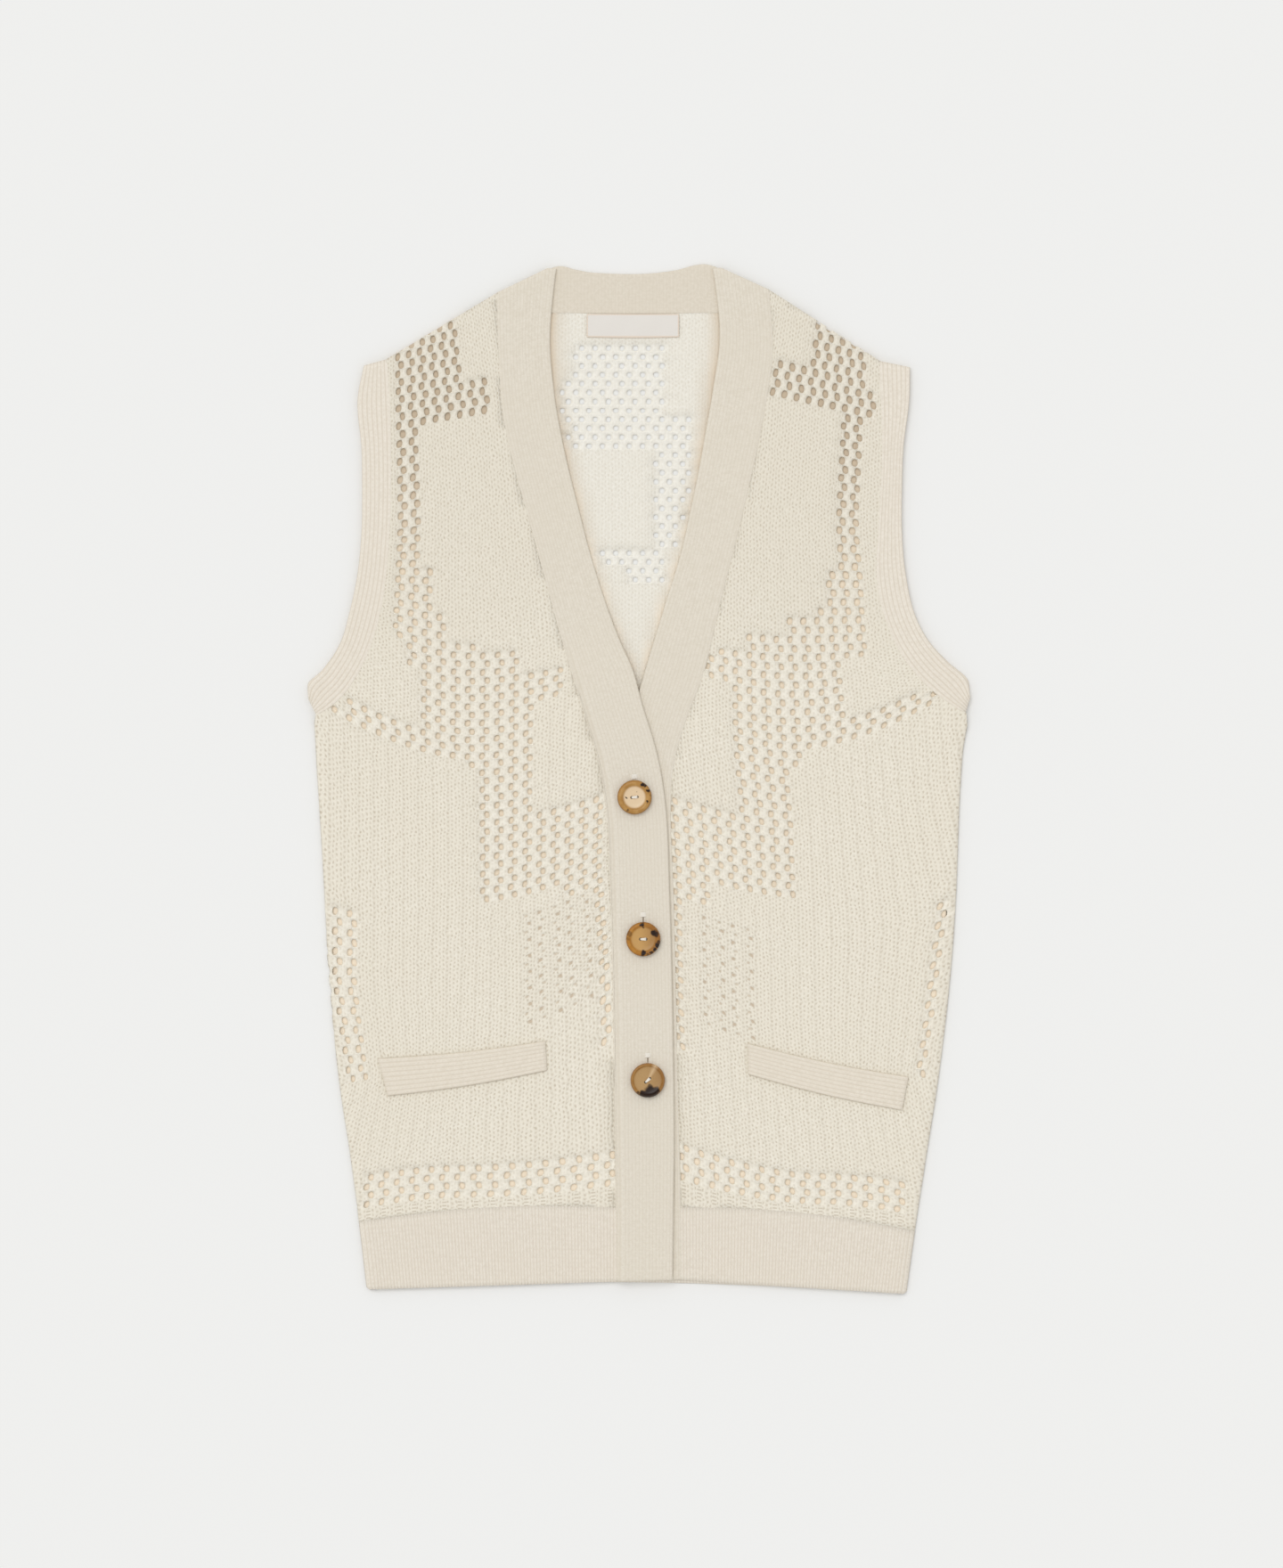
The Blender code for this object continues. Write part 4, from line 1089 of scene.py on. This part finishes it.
def strip_edges(width, soft, linked=None):
    """A share's wall: full in the middle of a strip and thin at its soft edges.

    linked is the softness of the edge at share 0, where that is sewn to its neighbour.
    """
    def wall_at(share):
        near, far = share * width / (linked or soft), (1.0 - share) * width / soft
        return math.sqrt(max(1.0 - (1.0 - min(near, far, 1.0)) ** 2, 0.0))
    return wall_at


def thin_ends(step, last, start_soft, end_soft, least):
    """How much of its wall a strip keeps at a step, down to the least at its two ends."""
    return mix(least, 1.0, min(smooth_step(0.0, start_soft, step),
                               smooth_step(last, last - end_soft, step)))


def lengths_along(points):
    """How far along a line of points each one lies."""
    lengths = [0.0]
    for a, b in zip(points, points[1:]):
        lengths.append(lengths[-1] + math.dist(a, b))
    return lengths


def linked_edge(start, end):
    """The line across a strip from its seam, drawn into its neighbour, and the way it runs."""
    start, end = Vector(start), Vector(end)
    outwards = (end - start).normalized()
    return start - outwards * LINK_LAP, end, outwards


def make_front_band(half, width, underside):
    side, rows, section, sign = half
    wall_at = strip_edges(width, 1.3, 1.5)
    lengths = lengths_along([row[2:4] for row in rows])

    def point(share, step):
        across = section(step)
        start, end, _ = linked_edge(across[2:4], across[4:6])
        spot = start.lerp(end, share)
        corner = max(share - CORNER_START, 0.0) / (1.0 - CORNER_START)
        spot.y -= BAND_CORNER * corner * smooth_step(SHOULDER - 0.2, SHOULDER, step)
        return place(sign * spot.x, spot.y, underside(step, share)), share * width / BAND_LINE, \
            curve_through(lengths, step) / BAND_STITCH, \
            wall_at(share) * thin_ends(step, SHOULDER, 0.03, 0.04, 0.5)

    along = [0.0, 0.02, 0.05] + steps(0.125, SHOULDER - 0.125, SHOULDER * 8 - 2) \
        + [SHOULDER - 0.05, SHOULDER - 0.02, SHOULDER]
    laid_strip(f"band_{side}", close_at_edges([0.0, 0.006, 0.014, 0.025, 0.04], 0.06, 52), along,
               point, BAND_WALL, BAND_THIN, band_knit, f"front_band_{side}", (width, lengths[-1]),
               rise=BAND_LINE_RISE)


make_front_band(LEFT, 34.5, lambda course, share: FRONT_UNDERSIDE)
make_front_band(RIGHT, 36.5, lap_height)

# ---------------------------------------------------------------- the neckband
# The same band goes on round the back of the neck, where its inside shows
# between the two shoulder folds.
NeckRow = namedtuple("NeckRow", "x lower upper")
NECKBAND = tuple(NeckRow(*row) for row in (
    (-98, 617.5, 622), (-88, 617.5, 628), (-70, 617.5, 637), (-52, 617.5, 645.5),
    (-40, 617.3, 643.5), (-27, 617, 641.5), (0, 616.8, 640.8), (22, 617, 643),
    (36, 617.4, 646.5), (46, 617.5, 646), (64, 617.5, 637.5), (81, 617.5, 629.5),
    (96, 617.5, 621.5),
))
NECKBAND_WALL = 2.15
NECKBAND_WIDTH = 26.0
NECKBAND_LAP = 1.6               # over the back, which it is linked to
NECKBAND_COLOUR = (0.745, 0.685, 0.585)
neck_knit = knit_material("neck_knit", NECKBAND_COLOUR, BAND_GAP_SHADE, 0.05, 0.1, groove_shade=0.15, Slant=0.3)
neck_section = sections_of(NECKBAND)


def neckband_point(share, step):
    across = neck_section(step)
    y = mix(across.lower - NECKBAND_LAP, across.upper, share)
    wall = strip_edges(NECKBAND_WIDTH, 1.2, 0.5)(share)
    return place(across.x, y, 0.0), across.x / BAND_LINE, y / BAND_STITCH, wall


laid_strip("neckband", close_at_edges([0.0, 0.01, 0.03, 0.05], 0.1, 14),
           steps(0.0, len(NECKBAND) - 1, 96), neckband_point, NECKBAND_WALL, BAND_THIN, neck_knit,
           "neckband_back", (NECKBAND_WIDTH, 200.0))

# ---------------------------------------------------------------- the armhole bands
# A narrow band of lengthwise ribs round each armhole: the front half stands
# over the back half, and both meet under the arm and at the shoulder.
ArmEdge = namedtuple("ArmEdge", "x y")
RIGHT_ARMHOLE = tuple(ArmEdge(*row) for row in (
    (208, 374), (207, 383), (198, 392), (188, 408), (182, 428), (177, 452), (174.5, 477),
    (174, 502), (174.5, 532), (177, 560), (173, 583),
))
LEFT_ARMHOLE = tuple(ArmEdge(*row) for row in (
    (208, 375), (205, 386), (193, 397), (181, 411), (172, 430), (167, 455), (165, 479),
    (165, 505), (166, 532), (169.5, 560), (170, 582),
))
ARM_END = len(RIGHT_ARMHOLE) - 1
ARM_WIDTH = 17.0
ARM_RIBS = 7
ARM_LIFT = 0.1
BACK_ARM_PEEP = 1.2              # how far the back half shows past the front one
ARM_COLOUR = (0.83, 0.772, 0.68)
arm_knit = knit_material("arm_knit", ARM_COLOUR, RIB_GAP_SHADE, 0.12, 0.2, groove_shade=0.4, Slant=0.4)


def make_armhole_band(half, arm, front):
    side, rows, _, sign = half
    section, edge_section = sections_of(rows[UNDERARM:]), sections_of(arm)
    lengths = lengths_along(arm)
    wall_at = strip_edges(ARM_WIDTH, 1.1, 0.6)

    def point(share, step):
        start, end, outwards = linked_edge(section(step)[:2], edge_section(step))
        if not front:
            end += outwards * BACK_ARM_PEEP * (1.0 - smooth_step(1.0, 4.0, step)) * min(step, 1.0)
        spot = start.lerp(end, share)
        height = FRONT_UNDERSIDE + ARM_LIFT if front else 0.0
        return place(sign * spot.x, spot.y, height), share * ARM_RIBS, \
            curve_through(lengths, step) / RIB_STITCH, \
            wall_at(share) * thin_ends(step, ARM_END, 0.06, 0.04, 0.4)

    layer, under = ("front", f"armhole_{side}_back") if front else ("back", "table")
    laid_strip(f"armhole_{side}_{layer}", close_at_edges([0.0, 0.012, 0.03, 0.055], 0.08, 36),
               steps(0.0, ARM_END, ARM_END * 8), point, RIB_WALL, BAND_THIN, arm_knit,
               f"armband_{side}_{layer}", (ARM_WIDTH, lengths[-1]),
               rise=RIB_RISE if front else 0.0)


for half, arm in ((RIGHT, RIGHT_ARMHOLE), (LEFT, LEFT_ARMHOLE)):
    make_armhole_band(half, arm, False)
    make_armhole_band(half, arm, True)

# ---------------------------------------------------------------- the pocket welts
# A strip of lengthwise ribs over each pocket's mouth, sewn down at both ends.
WELT_WALL = 1.8
WELT_WIDTH = 19.0
WELT_LENGTH = 103.0
WELT_RIBS = 8
WELT_BOW = 1.6
WELT_RISE = 0.22
WELT_COLOUR = (0.80, 0.738, 0.636)
Welt = namedtuple("Welt", "band_top band_bottom side_bottom side_top")
RIGHT_WELT = Welt((59.0, 159.0), (58.0, 140.5), (158.0, 124.5), (164.0, 148.0))
LEFT_WELT = Welt((68.0, 157.5), (68.5, 138.0), (165.0, 115.5), (169.0, 136.5))
welt_knit = knit_material("welt_knit", WELT_COLOUR, RIB_GAP_SHADE, 0.12, 0.2, groove_shade=0.32, Slant=0.4)


def height_of_front(half, x, y):
    """Underside of a front at a point on it."""
    middles = [(mix(row.side_y, row.seam_y, 0.5), number) for number, row in enumerate(half.rows)]
    course = straight_through(middles, y)
    across = half.section(course)
    return front_underside(course, (across.side_x - x) / (across.side_x - across.seam_x))


def make_welt(half, welt):
    wall_at = strip_edges(WELT_WIDTH, 1.0)

    def point(share, step):
        top = Vector(welt.band_top).lerp(Vector(welt.side_top), step)
        bottom = Vector(welt.band_bottom).lerp(Vector(welt.side_bottom), step)
        x, y = top.lerp(bottom, share)
        y -= WELT_BOW * math.sin(math.pi * step)
        lift = height_of_front(half, x, y) + BODY_WALL + GAP
        return place(half.sign * x, y, lift), share * WELT_RIBS, step * WELT_LENGTH / RIB_STITCH, \
            wall_at(share) * thin_ends(step, 1.0, 0.012, 0.012, 0.3)

    laid_strip(f"welt_{half.side}", close_at_edges([0.0, 0.012, 0.03, 0.055], 0.08, 40),
               close_at_edges([0.0, 0.004, 0.01], 0.02, 60), point, WELT_WALL, BAND_THIN, welt_knit,
               f"pocket_welt_{half.side}", (WELT_WIDTH, 104.0),
               rise=WELT_RISE)


make_welt(RIGHT, RIGHT_WELT)
make_welt(LEFT, LEFT_WELT)

# ---------------------------------------------------------------- the buttons
# Three turned horn buttons with a raised rim, a dished middle and two thread
# holes, each cut from its own piece of mottled horn and sewn on with the yarn.
Button = namedtuple("Button", "x y turn dish bar base middle browning spots")
Spot = namedtuple("Spot", "angle reach size strength")     # degrees, and shares of the radius
BUTTONS = (
    Button(-3.0, 312.0, 0.1, 7.2, 11.8, (0.50, 0.285, 0.09), (0.76, 0.58, 0.375), 0.0,
           ((58, 0.90, 0.13, 1.0), (47, 0.93, 0.09, 1.0), (24, 0.88, 0.11, 1.0),
            (8, 0.93, 0.05, 0.6), (-18, 0.80, 0.10, 1.0), (-116, 0.88, 0.09, 0.6),
            (184, 0.49, 0.07, 0.9), (64, 0.34, 0.05, 0.35))),
    Button(2.5, 223.0, 0.0, 7.9, 14.2, (0.50, 0.235, 0.04), (0.55, 0.32, 0.11), 0.6,
           ((95, 0.86, 0.17, 1.0), (92, 0.68, 0.09, 0.7), (32, 0.70, 0.22, 1.0),
            (20, 0.82, 0.14, 0.9), (-8, 0.94, 0.12, 0.8), (-22, 0.90, 0.15, 1.0),
            (-40, 0.90, 0.15, 1.0), (-57, 0.92, 0.13, 0.9), (-75, 0.95, 0.12, 0.6),
            (-89, 0.76, 0.18, 1.0), (-92, 0.93, 0.12, 0.8), (158, 0.86, 0.17, 0.5),
            (176, 0.88, 0.13, 0.4))),
    Button(5.3, 134.5, 0.75, 9.0, 14.5, (0.42, 0.22, 0.06), (0.46, 0.285, 0.12), 0.35,
           ((-79, 0.68, 0.42, 1.0), (-50, 0.78, 0.26, 1.0), (-110, 0.84, 0.24, 1.0),
            (-66, 0.93, 0.22, 1.0), (-92, 0.93, 0.20, 1.0), (-128, 0.96, 0.10, 0.8),
            (-72, 0.38, 0.18, 0.6))),
)
BUTTON_RADIUS = 10.8
BUTTON_HEIGHT = 3.8
BUTTON_FOOT = LAP_UNDERSIDE + BAND_WALL + BAND_ROOM + GAP
HOLE_SPACING = 3.4
HOLE_RADIUS = 0.95
DRILL_LENGTH = 20.0
SEAM_STRAND = 0.62
SEAM_SPREAD = 0.45               # between two strands of the sewing
SEAM_FAN = 0.12
SEAM_SEAT = 1.75                 # how far below the rim they lie
DARK_HORN = (0.02, 0.008, 0.004)
BROWN_HORN = (0.21, 0.085, 0.022)
PALE_STREAK = (0.66, 0.47, 0.27)
STREAKED = 3                     # the button with a pale streak from its middle to its rim
STREAK_ANGLE = 62.0


def horn_material(number, button):
    """Polished horn: clouded amber, a paler middle, and dark spots where they grew."""
    material, shader = new_finish(f"horn_{number}", Specular_IOR_Level=0.22, Coat_Weight=0.08,
                                  Coat_Roughness=0.12)
    centred = place_on_object(material.node_tree).mapped(
        "TEXTURE", Location=(*place(button.x, button.y, 0.0).xy, 0.0),
        Scale=(BUTTON_RADIUS * MM, BUTTON_RADIUS * MM, 1.0))
    level = centred.work_out_place("MULTIPLY", (1.0, 1.0, 0.0))
    spread = level.noise(3.4, 3.0, result="Color").work_out_place("MULTIPLY_ADD", (0.32, 0.32, 0.0),
                                                               (-0.16, -0.16, 0.0))
    warped = level.work_out_place("ADD", spread)
    reach = level.work_out_place("DISTANCE", (0.0, 0.0, 0.0), result="Value")
    dish = button.dish / BUTTON_RADIUS
    clouds = warped.noise(2.2, 3.0).ramp(0.3, 0.7)
    colour = clouds.between(tinted(button.base, 0.78, 0.68, 0.5), button.base)
    colour = reach.ramp(dish - 0.12, dish + 0.04, 1.0, 0.0).between(colour, button.middle)
    # darker brown towards the wearer's left of each button, by its browning, and round its outer
    # edge
    sideways, _ = warped.parts()
    brown = sideways.ramp(-0.3, 0.9, 0.0, button.browning).larger(reach.ramp(0.9, 1.0, 0.0, 0.6))
    colour = brown.between(colour, BROWN_HORN)
    if number == STREAKED:
        turned = level.mapped("POINT", Rotation=(0.0, 0.0, -math.radians(STREAK_ANGLE)))
        along, beside = turned.parts()
        beside = beside.work_out("ABSOLUTE").work_out("DIVIDE", along * 0.22 + 0.05)
        streak = (1.0 - beside).larger(0.0)
        colour = (streak * along.ramp(0.02, 0.2) * 0.85).between(colour, PALE_STREAK)
    for spot in map(Spot._make, button.spots):
        angle = math.radians(spot.angle)
        middle = (spot.reach * math.cos(angle), spot.reach * math.sin(angle), 0.0)
        away = warped.work_out_place("DISTANCE", middle, result="Value")
        dark = away.ramp(spot.size * 0.55, spot.size * 1.15, spot.strength, 0.0)
        colour = dark.between(colour, DARK_HORN)
    wire(colour, shader.inputs["Base Color"])
    wire(warped.noise(14.0, 3.0).ramp(0.2, 0.8, 0.22, 0.34), shader.inputs["Roughness"])
    return material


def mottled_material(name, roughness, scale, dark, pale):
    material, shader = new_finish(name, Roughness=roughness)
    mottle = place_on_object(material.node_tree).noise(scale)
    wire(mottle.between(dark, pale), shader.inputs["Base Color"])
    return material


thread = mottled_material("sewing_thread", 0.7, 3000.0, (0.72, 0.66, 0.56), (0.93, 0.90, 0.83))


def add_strands(bm, strands):
    """Thread strands, each a half ring laid low: (length, thickness, place, turn, lift)."""
    for length, thickness, spot, turn, lift in strands:
        before = set(bm.verts)
        made = bmesh.ops.create_circle(bm, segments=8, radius=thickness / 2.0 * MM)["verts"]
        bmesh.ops.translate(bm, vec=(length / 2.0 * MM, 0.0, 0.0), verts=made)
        edges = list({edge for vertex in made for edge in vertex.link_edges})
        bmesh.ops.spin(bm, geom=made + edges, cent=(0, 0, 0), axis=(0, 1, 0), angle=-math.pi,
                       steps=10)
        strand = [vertex for vertex in bm.verts if vertex not in before]
        shape = Matrix.LocRotScale(spot, Matrix.Rotation(turn, 3, "Z").to_quaternion(),
                                   Vector((1.0, 1.0, lift)))
        bmesh.ops.transform(bm, matrix=shape, verts=strand)
    loose = [edge for edge in bm.edges if edge.is_boundary]
    bmesh.ops.holes_fill(bm, edges=loose, sides=8)
    bmesh.ops.recalc_face_normals(bm, faces=bm.faces)


def hard_piece(name, bm, material):
    for face in bm.faces:
        face.smooth = True
    piece = make_object(name, bm, material)
    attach(piece, "root")
    return piece


def drill_button(blank, stand):
    """Drills the two thread holes."""
    bm = bmesh.new()
    for side in (-1.0, 1.0):
        offset = Matrix.Translation((side * HOLE_SPACING / 2.0 * MM, 0.0, 0.0))
        bmesh.ops.create_cone(bm, cap_ends=True, segments=20, radius1=HOLE_RADIUS * MM,
                              radius2=HOLE_RADIUS * MM, depth=DRILL_LENGTH * MM,
                              matrix=stand @ offset)
    drill = make_object("drill", bm)
    cut = blank.modifiers.new("cut", "BOOLEAN")
    cut.operation = "DIFFERENCE"
    cut.object = drill
    shown = blank.evaluated_get(bpy.context.evaluated_depsgraph_get())
    drilled = bpy.data.meshes.new_from_object(shown)
    blank.modifiers.clear()
    blank.data = drilled
    drilled.shade_smooth()
    drilled.set_sharp_from_angle(angle=math.radians(40))
    bpy.data.objects.remove(drill)


def make_button(number, button):
    """Turns one button, drills it and sews it on."""
    dish, top = button.dish, BUTTON_HEIGHT
    rim = [mix(dish, 10.3, share) for share in (0.7, 0.45, 0.2)]
    profile = [(0.0, 0.0), (8.6, 0.0), (10.3, 0.75), (10.75, 1.3), (BUTTON_RADIUS, 1.8),
               (10.65, 2.5), (10.25, 3.1), (rim[0], top - 0.1), (rim[1], top), (rim[2], top - 0.2),
               (dish, top - 0.7), (dish - 0.4, top - 1.15), (dish - 1.2, top - 1.4),
               (dish * 0.5, top - 1.5), (0.0, top - 1.5)]
    bm = bmesh.new()
    points = [bm.verts.new((radius * MM, 0.0, height * MM)) for radius, height in profile]
    edges = [bm.edges.new(pair) for pair in zip(points, points[1:])]
    bmesh.ops.spin(bm, geom=points + edges, cent=(0, 0, 0), axis=(0, 0, 1), angle=2 * math.pi,
                   steps=64, use_merge=True)
    bmesh.ops.remove_doubles(bm, verts=bm.verts, dist=0.000001)
    bmesh.ops.recalc_face_normals(bm, faces=bm.faces)
    stand = Matrix.Translation(place(button.x, button.y, BUTTON_FOOT)) \
        @ Matrix.Rotation(button.turn, 4, "Z")
    bmesh.ops.transform(bm, matrix=stand, verts=bm.verts)
    blank = hard_piece(f"button_top_{number}", bm, horn_material(number, button))
    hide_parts(f"button_{number}")
    drill_button(blank, stand)
    bm = bmesh.new()
    strands = []
    seat = BUTTON_FOOT + BUTTON_HEIGHT - SEAM_SEAT
    for side in (-1.0, 0.0, 1.0):
        x = button.x - SEAM_SPREAD * math.sin(button.turn) * side
        y = button.y + SEAM_SPREAD * math.cos(button.turn) * side
        strands.append((HOLE_SPACING, SEAM_STRAND, place(x, y, seat),
                        button.turn + SEAM_FAN * side, 0.55))
    add_strands(bm, strands)
    hard_piece(f"button_thread_{number}", bm, thread)


for number, button in enumerate(BUTTONS, start=1):
    make_button(number, button)

# Each button comes up through an upright buttonhole, worked round in the yarn,
# of which the top shows as a short bar and a slit, its shadow painted on a dark lens.
BAR_WIDTH = 3.2
BAR_STRANDS = 7
BAR_STRAND = 0.5
SLIT_SIZE = (0.8, 4.8, 0.6)
SLIT_BELOW_BAR = 1.6
SLIT_SHOWS = 2.0                 # only a bar this far outside its button shows the slit
BAND_TOP = LAP_UNDERSIDE + BAND_WALL
slit_shade = mottled_material("slit_shade", 0.95, 900.0, (0.20, 0.15, 0.1), (0.32, 0.25, 0.18))

for number, button in enumerate(BUTTONS, start=1):
    bm = bmesh.new()
    bar = button.y + button.bar
    add_strands(bm, [(BAR_WIDTH, BAR_STRAND + 0.1,
                      place(button.x, bar + i * BAR_STRAND * 0.8, BAND_TOP - 0.15),
                      random.uniform(-0.08, 0.08), 0.38) for i in range(BAR_STRANDS)])
    hard_piece(f"buttonhole_bar_{number}", bm, thread)
    if button.bar < BUTTON_RADIUS + SLIT_SHOWS:
        continue
    # painted shadow: a dark lens laid in the band where the slit shows, since the band is not cut
    bm = bmesh.new()
    bmesh.ops.create_uvsphere(bm, u_segments=16, v_segments=8, radius=0.5)
    slit = Matrix.LocRotScale(place(button.x, bar - SLIT_BELOW_BAR, BAND_TOP - 0.05), None,
                              Vector(SLIT_SIZE) * MM)
    bmesh.ops.transform(bm, matrix=slit, verts=bm.verts)
    hard_piece(f"buttonhole_slit_shadow_{number}", bm, slit_shade)

# ---------------------------------------------------------------- the neck label
# A bare woven tape, folded under all round and caught down at its corners
# below the neckband.
LABEL_MIDDLE = (-4.0, 608.25)
LABEL_SIZE = (58.0, 14.5)
LABEL_WALL = 0.6
LABEL_THIN = 0.4
LABEL_LIFT = 0.1
LABEL_BORDER = 1.1
LABEL_BUCKLE = 0.35
LABEL_SAG = 0.5
TAPE_PALE = (0.83, 0.80, 0.75)
TAPE_DEEP = (0.75, 0.71, 0.655)
TAPE_EDGE = (0.77, 0.66, 0.55)

tape, tape_shader = new_finish("label_tape", Roughness=0.6)
across, up = place_in_stitches(tape.node_tree).parts()
weave = (across * 4.0).to_and_fro() * (up * 3.0).to_and_fro()
from_ends = LABEL_SIZE[0] / 2.0 - across.work_out("ABSOLUTE")
from_edges = LABEL_SIZE[1] / 2.0 - up.work_out("ABSOLUTE")
inside = from_ends.work_out("MINIMUM", from_edges)
tape_colour = inside.ramp(0.5, LABEL_BORDER, 1.0, 0.0).between(
    (weave * 4.0).between(TAPE_DEEP, TAPE_PALE), TAPE_EDGE)
wire(tape_colour, tape_shader.inputs["Base Color"])
wire(weave.bump(0.1), tape_shader.inputs["Normal"])


def label_point(share, step):
    x, y = (step - 0.5) * LABEL_SIZE[0], (share - 0.5) * LABEL_SIZE[1]
    y -= LABEL_SAG * math.sin(math.pi * step) * (1.0 - share)
    wall = min(strip_edges(LABEL_SIZE[1], 0.4)(share), strip_edges(LABEL_SIZE[0], 0.4)(step))
    buckle = LABEL_BUCKLE * math.sin(math.pi * share) * math.sin(2.4 * math.pi * step) ** 2
    return place(LABEL_MIDDLE[0] + x, LABEL_MIDDLE[1] + y, BODY_WALL + GAP + LABEL_LIFT + buckle), \
        x, y, wall


laid_strip("label", close_at_edges([0.0, 0.01, 0.03], 0.06, 12),
           close_at_edges([0.0, 0.003, 0.008], 0.02, 40), label_point, LABEL_WALL, LABEL_THIN, tape,
           "neck_label", LABEL_SIZE)

# small stitches over the label's two ends
CATCHES = 6
CATCH_INSET = (0.4, 1.5)
CATCH_SIZE = (1.6, 0.3)
CATCH_HEIGHT = 2.9
catches = []
for end in (-1.0, 1.0):
    x = LABEL_MIDDLE[0] + end * (LABEL_SIZE[0] / 2.0 - CATCH_INSET[0])
    reach = LABEL_SIZE[1] / 2.0 - CATCH_INSET[1]
    for y in steps(LABEL_MIDDLE[1] - reach, LABEL_MIDDLE[1] + reach, CATCHES - 1):
        catches.append((*CATCH_SIZE, place(x, y, CATCH_HEIGHT), random.uniform(-0.15, 0.15), 0.3))
bm = bmesh.new()
add_strands(bm, catches)
hard_piece("label_stitches", bm, thread)
